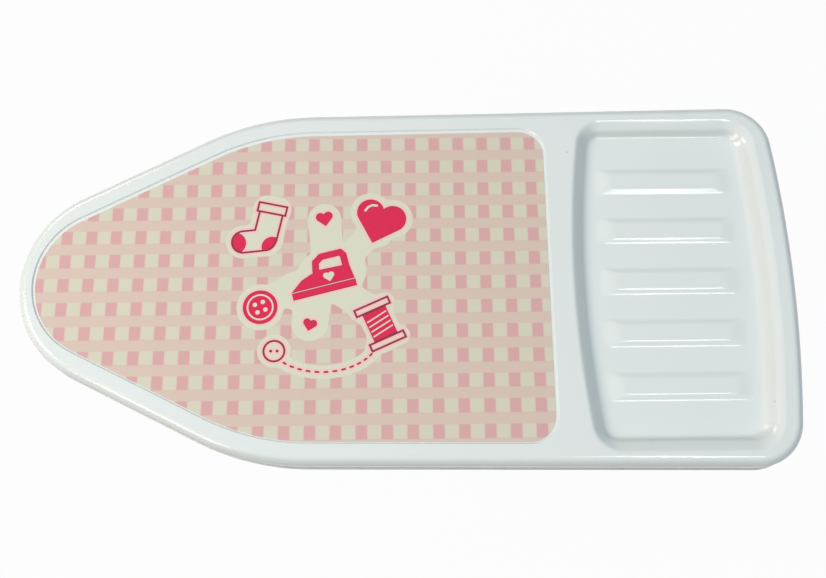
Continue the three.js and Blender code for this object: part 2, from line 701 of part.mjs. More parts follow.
function slideRail(side) {
  const shape = new THREE.Shape();
  shape.moveTo(RAIL_NOSE_END, RAIL_BOTTOM);
  shape.lineTo(RAIL_HEEL_END, RAIL_BOTTOM);
  shape.lineTo(RAIL_HEEL_END, RAIL_LOW_TOP);
  shape.lineTo(RAIL_STEP_X, RAIL_LOW_TOP);
  shape.lineTo(RAIL_HIGH_END, BOSS_FACE);
  shape.lineTo(RAIL_NOSE_END, BOSS_FACE);
  shape.closePath();
  shape.holes.push(railSlot());
  const yLow = side * RAIL_Y - RAIL_THICKNESS / 2;
  let rail = solidOf(sheetAlongY(shape, yLow, yLow + RAIL_THICKNESS));
  const flangeEnds = [side * RAIL_Y, side * (RAIL_SCREW_Y - RAIL_FLANGE_WIDTH / 2)];
  const [flangeLow, flangeHigh] = flangeEnds.sort((a, b) => a - b);
  for (const [x, y] of railScrewPlaces(side)) {
    rail = rail.add(solidOf(block(
      x - RAIL_FLANGE_LENGTH / 2,
      x + RAIL_FLANGE_LENGTH / 2,
      flangeLow,
      flangeHigh,
      BOSS_FACE - RAIL_FLANGE_THICKNESS,
      BOSS_FACE,
    )));
    rail = rail.subtract(screwHole(x, y));
  }
  return rail;
}

for (const [place, side] of SIDES) {
  addPiece(board, `slide_rail_${place}`, slideRail(side), whiteNylon);
}
addScrews("rail_screw", railScrewPlaces, RAIL_FLANGE_THICKNESS);

// Clip that holds the folded foot bar, under the floor of the iron rest

function legClip() {
  const halfGap = FOOT_BAR_RADIUS + CLIP_CLEARANCE;
  const under = HINGE_Z + FOOT_BAR_RADIUS + CLIP_CLEARANCE;
  const body = block(
    FOOT_FOLDED_X - halfGap - CLIP_WALL,
    FOOT_FOLDED_X + halfGap + CLIP_WALL,
    -CLIP_LENGTH / 2,
    CLIP_LENGTH / 2,
    HINGE_Z - CLIP_REACH,
    REST_UNDERSIDE,
  );
  const mouth = block(
    FOOT_FOLDED_X - halfGap,
    FOOT_FOLDED_X + halfGap,
    -CLIP_LENGTH / 2 - OVERRUN,
    CLIP_LENGTH / 2 + OVERRUN,
    HINGE_Z - CLIP_REACH - OVERRUN,
    under,
  );
  return solidOf(body).subtract(solidOf(mouth));
}

addPiece(board, "leg_clip", legClip(), whiteNylon);

// Leg pieces, made flat along X about their group's own axis

/** A leg's tube, from its open end past its top pin to the foot bar that it is welded to. */
function legTube(y, openEnd, footX, holes) {
  const [low, high] = [openEnd, footX].sort((a, b) => a - b);
  let tube = solidOf(rodAlongX(TUBE_RADIUS, low, high, y, 0));
  tube = tube.subtract(solidOf(rodAlongX(TUBE_RADIUS - TUBE_WALL, low - OVERRUN, high + OVERRUN, y, 0)));
  const reach = TUBE_RADIUS + OVERRUN;
  const seat = rodAlongY(FOOT_BAR_RADIUS + FIT_GAP, footX, y - reach, y + reach, 0);
  tube = tube.subtract(solidOf(seat));
  for (const [x, radius] of holes) {
    const hole = rodAlongY(radius + FIT_GAP, x, y - reach, y + reach, 0, SMALL_SIDES);
    tube = tube.subtract(solidOf(hole));
  }
  return tube;
}

/** A domed plug for a tube's open end, pointing along the given direction of X. */
function tubePlug(y, endX, direction) {
  const boreRadius = TUBE_RADIUS - TUBE_WALL - FIT_GAP;
  const profile = [
    new THREE.Vector2(0, -PLUG_SHANK),
    new THREE.Vector2(boreRadius, -PLUG_SHANK),
    new THREE.Vector2(boreRadius, FIT_GAP),
    new THREE.Vector2(TUBE_RADIUS, FIT_GAP),
    new THREE.Vector2(TUBE_RADIUS, FIT_GAP + PLUG_HEAD / 3),
    new THREE.Vector2(TUBE_RADIUS - PLUG_HEAD / 2, PLUG_HEAD),
    new THREE.Vector2(0, PLUG_HEAD + FIT_GAP),
  ];
  const turned = new THREE.LatheGeometry(profile, ROUND_SIDES).rotateZ(-direction * Math.PI / 2);
  return turned.translate(endX, y, 0);
}

/** A moulded cap over a foot bar's end, with the flat tread that stands on the floor. */
function footCap(side, footX, barHalfLength, treadAngle) {
  const mouth = barHalfLength + CAP_END_WALL + FIT_GAP - CAP_LENGTH;
  const profile = [
    new THREE.Vector2(0, barHalfLength + FIT_GAP),
    new THREE.Vector2(FOOT_BAR_RADIUS + FIT_GAP, barHalfLength + FIT_GAP),
    new THREE.Vector2(FOOT_BAR_RADIUS + FIT_GAP, mouth),
    new THREE.Vector2(CAP_RADIUS, mouth),
    new THREE.Vector2(CAP_RADIUS, mouth + CAP_LENGTH - CAP_END_ROUNDING),
    new THREE.Vector2(CAP_RADIUS - CAP_END_ROUNDING, mouth + CAP_LENGTH),
    new THREE.Vector2(0, mouth + CAP_LENGTH),
  ];
  const cap = new THREE.LatheGeometry(profile, ROUND_SIDES);
  if (side < 0) {
    cap.rotateX(Math.PI);
  }
  const reach = mouth + CAP_LENGTH + OVERRUN;
  const ground = block(-CAP_RADIUS, CAP_RADIUS, -reach, reach, -CAP_RADIUS - OVERRUN, -TREAD_RADIUS);
  return solidOf(cap).subtract(solidOf(ground.rotateY(treadAngle))).translate([footX, 0, 0]);
}

function footBar(footX, halfLength) {
  return tubeAlongY(FOOT_BAR_RADIUS, FOOT_BAR_WALL, -halfLength, halfLength).translate([footX, 0, 0]);
}

// Outer leg: its group's origin is the hinge, and it reaches to the heel when folded
addPiece(outerLeg, "outer_foot_bar", footBar(LEG_REACH, OUTER_FOOT_HALF_LENGTH), legPaint);
for (const [place, side] of SIDES) {
  const y = side * OUTER_TUBE_Y;
  const holes = [[0, PIN_RADIUS], [UPPER_ARM, PIN_RADIUS]];
  addPiece(outerLeg, `outer_leg_tube_${place}`, legTube(y, -TUBE_END_OVERRUN, LEG_REACH, holes), legPaint);
  addPiece(outerLeg, `outer_tube_plug_${place}`, tubePlug(y, -TUBE_END_OVERRUN, -1), pinkPlastic);
  const cap = footCap(side, LEG_REACH, OUTER_FOOT_HALF_LENGTH, -OPEN_ANGLE);
  addPiece(outerLeg, `outer_foot_cap_${place}`, cap, pinkPlastic);
  const inside = INNER_TUBE_Y - TUBE_RADIUS - FIT_GAP;
  const rivet = headedPin(side, UPPER_ARM, 0, inside, OUTER_TUBE_Y + TUBE_RADIUS);
  const [low, high] = [side * inside, side * (inside - PIN_HEAD_HEIGHT)].sort((a, b) => a - b);
  const innerHead = solidOf(rodAlongY(PIN_HEAD_RADIUS, UPPER_ARM, low, high, 0));
  addPiece(outerLeg, `pivot_rivet_${place}`, rivet.add(innerHead), bareSteel);
  const washerReach = TUBE_RADIUS + FIT_GAP;
  const washerEnds = [side * (INNER_TUBE_Y + washerReach), side * (OUTER_TUBE_Y - washerReach)];
  const [washerLow, washerHigh] = washerEnds.sort((a, b) => a - b);
  const washer = ringAlongY(WASHER_RADIUS, PIN_RADIUS, UPPER_ARM, washerLow, washerHigh);
  addPiece(outerLeg, `pivot_washer_${place}`, washer, whiteNylon);
}

// Inner leg: its group's origin is the crossing, and its foot lies towards the nose when folded
addPiece(innerLeg, "inner_foot_bar", footBar(-LOWER_ARM, INNER_FOOT_HALF_LENGTH), legPaint);
for (const [place, side] of SIDES) {
  const y = side * INNER_TUBE_Y;
  const openEnd = UPPER_ARM + TUBE_END_OVERRUN;
  const holes = [[0, PIN_RADIUS], [UPPER_ARM, SLIDE_BAR_RADIUS]];
  addPiece(innerLeg, `inner_leg_tube_${place}`, legTube(y, openEnd, -LOWER_ARM, holes), legPaint);
  addPiece(innerLeg, `inner_tube_plug_${place}`, tubePlug(y, openEnd, 1), pinkPlastic);
  const cap = footCap(side, -LOWER_ARM, INNER_FOOT_HALF_LENGTH, OPEN_ANGLE);
  addPiece(innerLeg, `inner_foot_cap_${place}`, cap, pinkPlastic);
  const sleeveLow = side * RAIL_Y - SLEEVE_LENGTH / 2;
  const sleeve = ringAlongY(SLEEVE_RADIUS, SLIDE_BAR_RADIUS, UPPER_ARM, sleeveLow, sleeveLow + SLEEVE_LENGTH);
  addPiece(innerLeg, `slide_sleeve_${place}`, sleeve, pinkPlastic);
}
const slideBarReach = INNER_TUBE_Y + TUBE_RADIUS + SLIDE_BAR_END;
const slideBar = rodAlongY(SLIDE_BAR_RADIUS, UPPER_ARM, -slideBarReach, slideBarReach, 0);
addPiece(innerLeg, "slide_bar", slideBar, bareSteel);

/** The brace between the inner tubes, its ends shaped to them. */
function legBrace() {
  const x = -BRACE_REACH;
  let brace = tubeAlongY(BRACE_RADIUS, BRACE_WALL, -INNER_TUBE_Y, INNER_TUBE_Y).translate([x, 0, 0]);
  for (const [, side] of SIDES) {
    const reach = BRACE_RADIUS + OVERRUN;
    const seat = rodAlongX(TUBE_RADIUS + FIT_GAP, x - reach, x + reach, side * INNER_TUBE_Y, 0);
    brace = brace.subtract(solidOf(seat));
  }
  return brace;
}

addPiece(innerLeg, "inner_leg_brace", legBrace(), legPaint);

// The legs stand open at rest
outerLeg.position.set(HINGE_X, 0, HINGE_Z);
outerLeg.rotation.y = OPEN_ANGLE;
innerLeg.position.set(PIVOT_X, 0, PIVOT_Z);
innerLeg.rotation.y = -OPEN_ANGLE;

const ironingBoard = new THREE.Group();
ironingBoard.add(board, outerLeg, innerLeg);

export default ironingBoard;
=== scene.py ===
import math

import bmesh
import bpy
from mathutils import Matrix, Vector


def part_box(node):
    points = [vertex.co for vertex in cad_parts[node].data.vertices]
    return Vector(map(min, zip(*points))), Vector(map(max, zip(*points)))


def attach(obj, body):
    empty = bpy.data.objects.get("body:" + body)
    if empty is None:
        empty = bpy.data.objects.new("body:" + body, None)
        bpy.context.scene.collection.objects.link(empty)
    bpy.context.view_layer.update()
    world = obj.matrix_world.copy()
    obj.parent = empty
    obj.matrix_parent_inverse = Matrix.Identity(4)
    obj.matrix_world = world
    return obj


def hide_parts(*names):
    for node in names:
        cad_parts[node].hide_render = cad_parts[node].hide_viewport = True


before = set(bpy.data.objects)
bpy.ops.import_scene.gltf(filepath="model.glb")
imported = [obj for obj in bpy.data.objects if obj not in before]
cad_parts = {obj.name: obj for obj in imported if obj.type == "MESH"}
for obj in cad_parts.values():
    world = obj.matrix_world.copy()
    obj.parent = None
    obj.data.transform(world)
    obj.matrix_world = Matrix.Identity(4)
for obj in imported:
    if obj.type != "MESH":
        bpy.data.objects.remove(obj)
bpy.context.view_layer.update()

# Camera: it looks down on the board from above its middle, a little from the front, so the print and the sunken
# iron rest are both in full view. Its picture is 826 by 578.
CAMERA_PLACE = (-0.00092, -0.15898, 0.87410)
CAMERA_TILT_DEGREES = (15.3825, -0.2263, -0.6520)
CAMERA_FOCAL_PIXELS = 956.23
CAMERA_SENSOR_WIDTH = 36.0
CAMERA_NEAR, CAMERA_FAR = 0.01, 60.0
PICTURE_WIDTH = 826


def add_object(name, data):
    """An object for some data, put into the scene."""
    made = bpy.data.objects.new(name, data)
    bpy.context.scene.collection.objects.link(made)
    return made


camera_data = bpy.data.cameras.new("camera")
camera_data.sensor_width = CAMERA_SENSOR_WIDTH
camera_data.lens = CAMERA_FOCAL_PIXELS / PICTURE_WIDTH * camera_data.sensor_width
camera_data.clip_start, camera_data.clip_end = CAMERA_NEAR, CAMERA_FAR
camera = add_object("camera", camera_data)
camera.location = CAMERA_PLACE
camera.rotation_euler = [math.radians(degrees) for degrees in CAMERA_TILT_DEGREES]
bpy.context.scene.camera = camera

# Studio: a plain pale floor that reads white under a soft cool ceiling. Three warm panels stand beyond the nose,
# at the back, in the middle and at the front. A small panel hangs over the heel end, where the raised ribs catch
# its light.
bpy.context.scene.view_settings.view_transform = "Standard"
FLOOR_HALF_WIDTH = 6.0
FLOOR_COLOUR = (0.20, 0.21, 0.22, 1.0)
FLOOR_WHITE_SHARE = 0.88
FLOOR_WHITE_STRENGTH = 1.09
CEILING_EDGE = (0.45, 0.75)
CEILING_LEVEL = 0.83
CEILING_COLOUR = (0.82, 0.90, 1.0, 1.0)
PURE_WHITE = (1.0, 1.0, 1.0, 1.0)
PANEL_AIM = Vector((0.0, 0.0, 0.31))
# Each panel's direction and distance from the board, its sides, its level on a facing white card, and its colour
PANELS = (
    ("key_panel", (-0.61, 0.61, 0.50), 1.5, (0.50, 0.50), 0.20, (1.0, 0.85, 0.72)),
    ("fill_panel", (-0.61, -0.61, 0.50), 1.5, (0.50, 0.50), 0.24, (1.0, 0.86, 0.72)),
    ("side_panel", (-0.77, 0.0, 0.64), 1.5, (0.50, 0.50), 0.38, (1.0, 0.91, 0.80)),
    ("heel_panel", (0.484, -0.29, 1.16), 1.3, (0.26, 0.30), 0.16, (1.0, 1.0, 1.0)),
)


def new_material(name):
    """A material and its emptied node tree."""
    material = bpy.data.materials.new(name)
    material.use_nodes = True
    material.node_tree.nodes.clear()
    return material, material.node_tree


def feed(tree, value, socket):
    """Links a value that comes from a socket, and sets a plain one."""
    if isinstance(value, bpy.types.NodeSocket):
        tree.links.new(value, socket)
    else:
        socket.default_value = value


def add_math(tree, operation, *values):
    """A Math node over values or sockets, and its result."""
    node = tree.nodes.new("ShaderNodeMath")
    node.operation = operation
    for socket, value in zip(node.inputs, values):
        feed(tree, value, socket)
    return node.outputs[0]


def add_range(tree, value, low, high, start=0.0, finish=1.0):
    """A smooth step of a value between two limits."""
    node = tree.nodes.new("ShaderNodeMapRange")
    node.interpolation_type = "SMOOTHSTEP"
    for socket, given in zip(("From Min", "From Max", "To Min", "To Max"), (low, high, start, finish)):
        feed(tree, given, node.inputs[socket])
    tree.links.new(value, node.inputs["Value"])
    return node.outputs["Result"]


def coloured(tree, kind, colour, strength=None):
    """A plain shader of a kind, in one colour and strength."""
    node = tree.nodes.new(kind)
    node.inputs["Color"].default_value = colour
    if strength is not None:
        feed(tree, strength, node.inputs["Strength"])
    return node.outputs[0]


def show_mix(tree, share, first, second, output_kind):
    """Mixes two shaders by a share and puts the result out."""
    mix = tree.nodes.new("ShaderNodeMixShader")
    output = tree.nodes.new(output_kind)
    for value, socket in zip((share, first, second, mix.outputs[0]), (*mix.inputs, output.inputs["Surface"])):
        tree.links.new(value, socket)


def floor_material():
    """White to the camera and in reflections, and a plain grey card for the light that falls on it."""
    material, tree = new_material("studio_floor")
    path = tree.nodes.new("ShaderNodeLightPath").outputs
    seen = path["Is Camera Ray"]
    for ray in ("Is Glossy Ray", "Is Transmission Ray"):
        seen = add_math(tree, "MAXIMUM", seen, path[ray])
    plain = coloured(tree, "ShaderNodeBsdfDiffuse", FLOOR_COLOUR)
    white = coloured(tree, "ShaderNodeEmission", PURE_WHITE, FLOOR_WHITE_STRENGTH)
    show_mix(tree, add_math(tree, "MULTIPLY", seen, FLOOR_WHITE_SHARE), plain, white, "ShaderNodeOutputMaterial")
    return material


def make_object(name, bm):
    """Turns a finished bmesh into an object at the origin."""
    mesh = bpy.data.meshes.new(name)
    bm.to_mesh(mesh)
    bm.free()
    return add_object(name, mesh)


floor_bm = bmesh.new()
bmesh.ops.create_grid(floor_bm, x_segments=1, y_segments=1, size=FLOOR_HALF_WIDTH)
floor = make_object("studio_floor", floor_bm)
floor.data.materials.append(floor_material())


def add_panel(name, direction, distance, sides, level, colour):
    """A soft rectangular lamp that faces the middle of the board."""
    data = bpy.data.lights.new(name, "AREA")
    data.shape = "RECTANGLE"
    data.size, data.size_y = sides
    data.energy = level * math.pi**2 * distance**2
    data.color = colour
    lamp = add_object(name, data)
    away = Vector(direction).normalized()
    facing = away.to_track_quat("Z", "X").to_matrix().to_4x4()
    lamp.matrix_world = Matrix.Translation(PANEL_AIM + away * distance) @ facing


for panel in PANELS:
    add_panel(*panel)


def room_light():
    """Even cool light from the room's ceiling, and none from its walls."""
    world = bpy.data.worlds.new("studio_room")
    world.use_nodes = True
    tree = world.node_tree
    tree.nodes.clear()
    direction = tree.nodes.new("ShaderNodeTexCoord").outputs["Generated"]
    height = tree.nodes.new("ShaderNodeSeparateXYZ")
    tree.links.new(direction, height.inputs["Vector"])
    ceiling = add_range(tree, height.outputs["Z"], *CEILING_EDGE, 0.0, CEILING_LEVEL)
    lit = coloured(tree, "ShaderNodeBackground", CEILING_COLOUR, ceiling)
    white = coloured(tree, "ShaderNodeBackground", PURE_WHITE, 1.0)
    seen = tree.nodes.new("ShaderNodeLightPath").outputs["Is Camera Ray"]
    show_mix(tree, seen, lit, white, "ShaderNodeOutputWorld")
    return world


bpy.context.scene.world = room_light()

# Top shell: the board itself, moulded in one piece in glossy white plastic. Its flat rim rounds over into a skirt
# with a thin lip. The print lies in a shallow recess, and the heel end is sunk to make the iron rest with its
# raised ribs. Underneath it has crossed stiffeners and bosses for the screws.
MM = 0.001
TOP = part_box("top_shell")[1].z
SKIRT_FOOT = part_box("top_shell")[0].z
NOSE_X = -236.4 * MM
HEEL_X = 236.4 * MM
NOSE_RADIUS = 62.4 * MM
FLANK_NORMAL = math.radians(90 + 26.7)
SHOULDER_RADIUS = 154 * MM
HEEL_HALF_WIDTH = 114 * MM
SIDE_NORMAL = math.radians(90 + 0.73)
HEEL_CORNER_RADIUS = 28 * MM
HEEL_ARC_RADIUS = 810 * MM
SHELL_WALL = 2.5 * MM
EDGE_RADIUS = 6 * MM
LIP_HEIGHT = 2.2 * MM
LIP_OVERHANG = 0.78 * MM
RECESS_DEPTH = 0.75 * MM
RECESS_INSET = 13 * MM
RECESS_NOSE_INSET = 9.7 * MM
RECESS_HEEL_X = 87 * MM
RECESS_CORNER_RADIUS = 17 * MM
RECESS_WALL_RUN = 1.1 * MM
RECESS_WALL_OUTER_SHARE = 0.25
RECESS_WALL_STEPS = 8
REST_DEPTH = 8 * MM
REST_NOSE_X = 104.3 * MM
REST_HEEL_X = 220.5 * MM
REST_HALF_WIDTH = 99.3 * MM
REST_LIP_RADIUS = 5 * MM
REST_SIDE_LIP_RUN = 6.9 * MM
REST_NOSE_ARC_RADIUS = 640 * MM
REST_NOSE_CORNER_RADIUS = 12.5 * MM
REST_HEEL_CORNER_RADIUS = 13.5 * MM
REST_NOSE_RUN = 8.4 * MM
REST_HEEL_RUN = 11.5 * MM
REST_SIDE_RUN = 5.3 * MM
REST_WALL_STEPS = 2
RIB_COUNT = 5
RIB_PITCH = 32.6 * MM
RIB_WIDTH = 18.4 * MM
RIB_HEIGHT = 1.35 * MM
RIB_NOSE_X = 116.5 * MM
RIB_HEEL_X = 206.5 * MM
RIB_FRONT_RUN = 4.9 * MM
RIB_BACK_RUN = 5 * MM
RIB_END_RUN = 13 * MM
RIB_CORNER_RADIUS = 4.5 * MM
RIB_EDGE_STEPS = 12
RIB_CORNER_STEPS = 8
BOSS_DEPTH = 6 * MM
BOSS_RADIUS = 4.2 * MM
BOSS_HOLE_RADIUS = 1.7 * MM
STIFFENER_DEPTH = 5 * MM
STIFFENER_THICKNESS = 1.6 * MM
STIFFENER_SPACING = 76 * MM
STIFFENER_FIRST_X = -190 * MM
STIFFENER_PITCH = 48 * MM
STIFFENER_COUNT = 6
STIFFENER_REACH = 200 * MM
# The rest wall from the rim to the floor: shares of its run at the ends, of its run at the sides, of its depth
REST_WALL_SHARES = (
    (0.0, 0.0, 0.0),
    (0.06, 0.08, 0.0125),
    (0.11, 0.15, 0.0375),
    (0.17, 0.22, 0.085),
    (0.24, 0.32, 0.1625),
    (0.32, 0.46, 0.275),
    (0.38, 0.59, 0.3875),
    (0.425, 0.665, 0.4875),
    (0.52, 0.73, 0.675),
    (0.605, 0.78, 0.825),
    (0.695, 0.85, 0.9375),
    (0.815, 0.925, 0.984),
    (1.0, 1.0, 1.0),
)
# The lip's section from the foot up: how far in from the skirt, and how high over the skirt's foot
LIP_SECTION = (
    (0.3 * MM, 0.0),
    (0.25 * MM - LIP_OVERHANG, 0.0),
    (-LIP_OVERHANG, 0.3 * MM),
    (-LIP_OVERHANG, LIP_HEIGHT - 1.0 * MM),
    (0.2 * MM - LIP_OVERHANG, LIP_HEIGHT - 0.7 * MM),
    (-0.2 * MM, LIP_HEIGHT - 0.45 * MM),
    (0.0, LIP_HEIGHT),
)
# The inside's upper corner: how far in from the skirt, and how far under the inside's ceiling
INSIDE_CORNER = (
    (SHELL_WALL + 0.5 * MM, 1.6 * MM),
    (SHELL_WALL + 1.5 * MM, 0.5 * MM),
    (EDGE_RADIUS - 1.0 * MM, 0.0),
)
NOSE_STEPS = 22
HEEL_ARC_STEPS = 8
HEEL_CORNER_STEPS = 16
CORNER_STEPS = 14
EDGE_STEPS = 12
SHELL_SHARP_DEGREES = 34
SHELL_NORMAL_WEIGHT = 80
SHELL_SHADES = ((0.705, 0.765, 0.745, 1.0), (0.735, 0.79, 0.775, 1.0))
SHELL_SPECK_SHADE = (0.42, 0.40, 0.37, 1.0)
# How far a cutter stands past what it cuts
OVERRUN = 1 * MM


def smooth_rise(part):
    """A rise from 0 to 1, level at both ends."""
    return part**2 * (3 - 2 * part)


def arc(centre_x, centre_y, radius, start, end, steps):
    """Points along an arc, both ends included."""
    turns = [start + (end - start) * step / steps for step in range(steps + 1)]
    return [(centre_x + radius * math.cos(turn), centre_y + radius * math.sin(turn)) for turn in turns]


def quarter_round(radius, steps):
    """A rounded edge from the side to the top: how far in it has come, and how far down it still is."""
    turns = [math.pi / 2 * step / steps for step in range(steps + 1)]
    return [(radius * (1 - math.cos(turn)), radius * (1 - math.sin(turn))) for turn in turns]


def mirrored(half):
    """The back half runs from the heel to the nose, and the front half is its mirror image."""
    return half + [(x, -y) for x, y in reversed(half[1:-1])]


def meeting_point(first_angle, first_reach, second_angle, second_reach):
    """The point whose distances along two directions are given."""
    spread = math.sin(second_angle - first_angle)
    return (
        (first_reach * math.sin(second_angle) - second_reach * math.sin(first_angle)) / spread,
        (second_reach * math.cos(first_angle) - first_reach * math.cos(second_angle)) / spread,
    )


NOSE_CENTRE_X = NOSE_X + NOSE_RADIUS
HEEL_ARC_CENTRE_X = HEEL_X - HEEL_ARC_RADIUS
FLANK_REACH = NOSE_RADIUS + NOSE_CENTRE_X * math.cos(FLANK_NORMAL)
SIDE_REACH = HEEL_X * math.cos(SIDE_NORMAL) + HEEL_HALF_WIDTH * math.sin(SIDE_NORMAL)
SHOULDER = meeting_point(FLANK_NORMAL, FLANK_REACH - SHOULDER_RADIUS, SIDE_NORMAL, SIDE_REACH - SHOULDER_RADIUS)


def heel_corner():
    """The centre of the arc that joins the side to the heel's arc."""
    along = SIDE_NORMAL - math.pi / 2
    start_x = (SIDE_REACH - HEEL_CORNER_RADIUS) * math.cos(SIDE_NORMAL) - HEEL_ARC_CENTRE_X
    start_y = (SIDE_REACH - HEEL_CORNER_RADIUS) * math.sin(SIDE_NORMAL)
    half = start_x * math.cos(along) + start_y * math.sin(along)
    rest = start_x**2 + start_y**2 - (HEEL_ARC_RADIUS - HEEL_CORNER_RADIUS) ** 2
    travel = math.sqrt(half**2 - rest) - half
    return HEEL_ARC_CENTRE_X + start_x + travel * math.cos(along), start_y + travel * math.sin(along)


HEEL_CORNER = heel_corner()


def nose_end(inset, tip_inset=None):
    """The shoulder, flank and nose, taken in by an inset. The tip of the nose may be taken in by another."""
    tip_x = NOSE_X + (inset if tip_inset is None else tip_inset)
    reach = FLANK_REACH - inset
    radius = (reach - tip_x * math.cos(FLANK_NORMAL)) / (1 + math.cos(FLANK_NORMAL))
    shoulder = arc(*SHOULDER, SHOULDER_RADIUS - inset, SIDE_NORMAL, FLANK_NORMAL, CORNER_STEPS)
    return shoulder + arc(tip_x + radius, 0.0, radius, FLANK_NORMAL, math.pi, NOSE_STEPS)


def board_outline(inset):
    """The board's outline, taken in by an inset."""
    turn = math.atan2(HEEL_CORNER[1], HEEL_CORNER[0] - HEEL_ARC_CENTRE_X)
    heel = arc(HEEL_ARC_CENTRE_X, 0.0, HEEL_ARC_RADIUS - inset, 0.0, turn, HEEL_ARC_STEPS)
    corner = arc(*HEEL_CORNER, HEEL_CORNER_RADIUS - inset, turn, SIDE_NORMAL, HEEL_CORNER_STEPS)
    return mirrored(heel + corner[1:] + nose_end(inset))


def recess_outline(gap, front_shift=0.0):
    """The recess's outline, taken in by a gap: much like the board's own, cut straight towards the heel."""
    heel_x = RECESS_HEEL_X - gap
    radius = RECESS_CORNER_RADIUS - gap
    corner = meeting_point(0.0, heel_x - radius, SIDE_NORMAL, SIDE_REACH - RECESS_INSET - gap - radius)
    nose = nose_end(RECESS_INSET + gap, RECESS_NOSE_INSET + gap)
    outline = mirrored([(heel_x, 0.0)] + arc(*corner, radius, 0.0, SIDE_NORMAL, CORNER_STEPS) + nose)
    return [(x, y - front_shift) for x, y in outline]


def rest_outline(end_share, side_share, growth):
    """The iron rest's outline, some shares of the way along its wall's runs, grown outwards by a margin."""
    nose_x = REST_NOSE_X - REST_LIP_RADIUS + end_share * (REST_LIP_RADIUS + REST_NOSE_RUN) - growth
    heel_x = REST_HEEL_X + REST_LIP_RADIUS - end_share * (REST_LIP_RADIUS + REST_HEEL_RUN) + growth
    widening = REST_SIDE_LIP_RUN - side_share * (REST_SIDE_LIP_RUN + REST_SIDE_RUN) + growth
    half_width = REST_HALF_WIDTH + widening
    heel_radius = REST_HEEL_CORNER_RADIUS + widening
    nose_radius = REST_NOSE_CORNER_RADIUS + widening
    heel_arc_radius = heel_x - HEEL_ARC_CENTRE_X
    nose_arc_centre = nose_x + REST_NOSE_ARC_RADIUS
    heel_reach = math.sqrt((heel_arc_radius - heel_radius) ** 2 - (half_width - heel_radius) ** 2)
    nose_reach = math.sqrt((REST_NOSE_ARC_RADIUS - nose_radius) ** 2 - (half_width - nose_radius) ** 2)
    heel_turn = math.atan2(half_width - heel_radius, heel_reach)
    nose_turn = math.pi - math.atan2(half_width - nose_radius, nose_reach)
    heel_place = (HEEL_ARC_CENTRE_X + heel_reach, half_width - heel_radius)
    nose_place = (nose_arc_centre - nose_reach, half_width - nose_radius)
    return mirrored(
        arc(HEEL_ARC_CENTRE_X, 0.0, heel_arc_radius, 0.0, heel_turn, HEEL_ARC_STEPS)[:-1]
        + arc(*heel_place, heel_radius, heel_turn, math.pi / 2, CORNER_STEPS)
        + arc(*nose_place, nose_radius, math.pi / 2, nose_turn, CORNER_STEPS)
        + arc(nose_arc_centre, 0.0, REST_NOSE_ARC_RADIUS, nose_turn, math.pi, HEEL_ARC_STEPS)[1:]
    )


def ring_solid(name, rings):
    """A closed solid, extruded from ring to ring. Each ring is an outline with its height."""
    bm = bmesh.new()
    outline, height = rings[0]
    ring = [bm.verts.new((x, y, height)) for x, y in outline]
    count = len(ring)
    bottom = bm.faces.new(ring)
    edges = [bm.edges.get((ring[step], ring[(step + 1) % count])) for step in range(count)]
    for outline, height in rings[1:]:
        made = bmesh.ops.extrude_edge_only(bm, edges=edges)["geom"]
        fresh = {vert for vert in made if isinstance(vert, bmesh.types.BMVert)}
        following = []
        for vert in ring:
            following += [edge.other_vert(vert) for edge in vert.link_edges if edge.other_vert(vert) in fresh]
        ring = following
        edges = [bm.edges.get((ring[step], ring[(step + 1) % count])) for step in range(count)]
        for vert, (x, y) in zip(ring, outline):
            vert.co = (x, y, height)
    bm.faces.new(ring)
    bottom.normal_flip()
    bmesh.ops.recalc_face_normals(bm, faces=bm.faces)
    return make_object(name, bm)


def box_solid(name, low, high):
    """A block between two corners."""
    bm = bmesh.new()
    bmesh.ops.create_cube(bm, size=1.0)
    size = [top - bottom for bottom, top in zip(low, high)]
    middle = [(top + bottom) / 2 for bottom, top in zip(low, high)]
    bmesh.ops.scale(bm, vec=size, verts=bm.verts)
    bmesh.ops.translate(bm, vec=middle, verts=bm.verts)
    return make_object(name, bm)


def round_solid(name, x, y, low, high, radius, segments=32):
    """An upright cylinder between two heights."""
    bm = bmesh.new()
    bmesh.ops.create_cone(bm, cap_ends=True, segments=segments, radius1=radius, radius2=radius, depth=high - low)
    bmesh.ops.translate(bm, vec=(x, y, (low + high) / 2), verts=bm.verts)
    return make_object(name, bm)


def combine(piece, tool, operation):
    """Joins a tool's solid to the piece, or cuts it away, and clears the tool off."""
    modifier = piece.modifiers.new(operation.lower(), "BOOLEAN")
    modifier.operation = operation
    modifier.solver = "EXACT"
    modifier.object = tool
    bpy.context.view_layer.update()
    graph = bpy.context.evaluated_depsgraph_get()
    result = bpy.data.meshes.new_from_object(piece.evaluated_get(graph))
    piece.modifiers.clear()
    before = piece.data
    piece.data = result
    result.name = piece.name
    bpy.data.meshes.remove(before)
    bpy.data.objects.remove(tool)


def board_body():
    """The rounded, lipped outside of the board, as if it were filled."""
    rings = [(board_outline(inset), SKIRT_FOOT + height) for inset, height in LIP_SECTION]
    rings += [(board_outline(inset), TOP - drop) for inset, drop in quarter_round(EDGE_RADIUS, EDGE_STEPS)]
    return ring_solid("shell_body", rings)


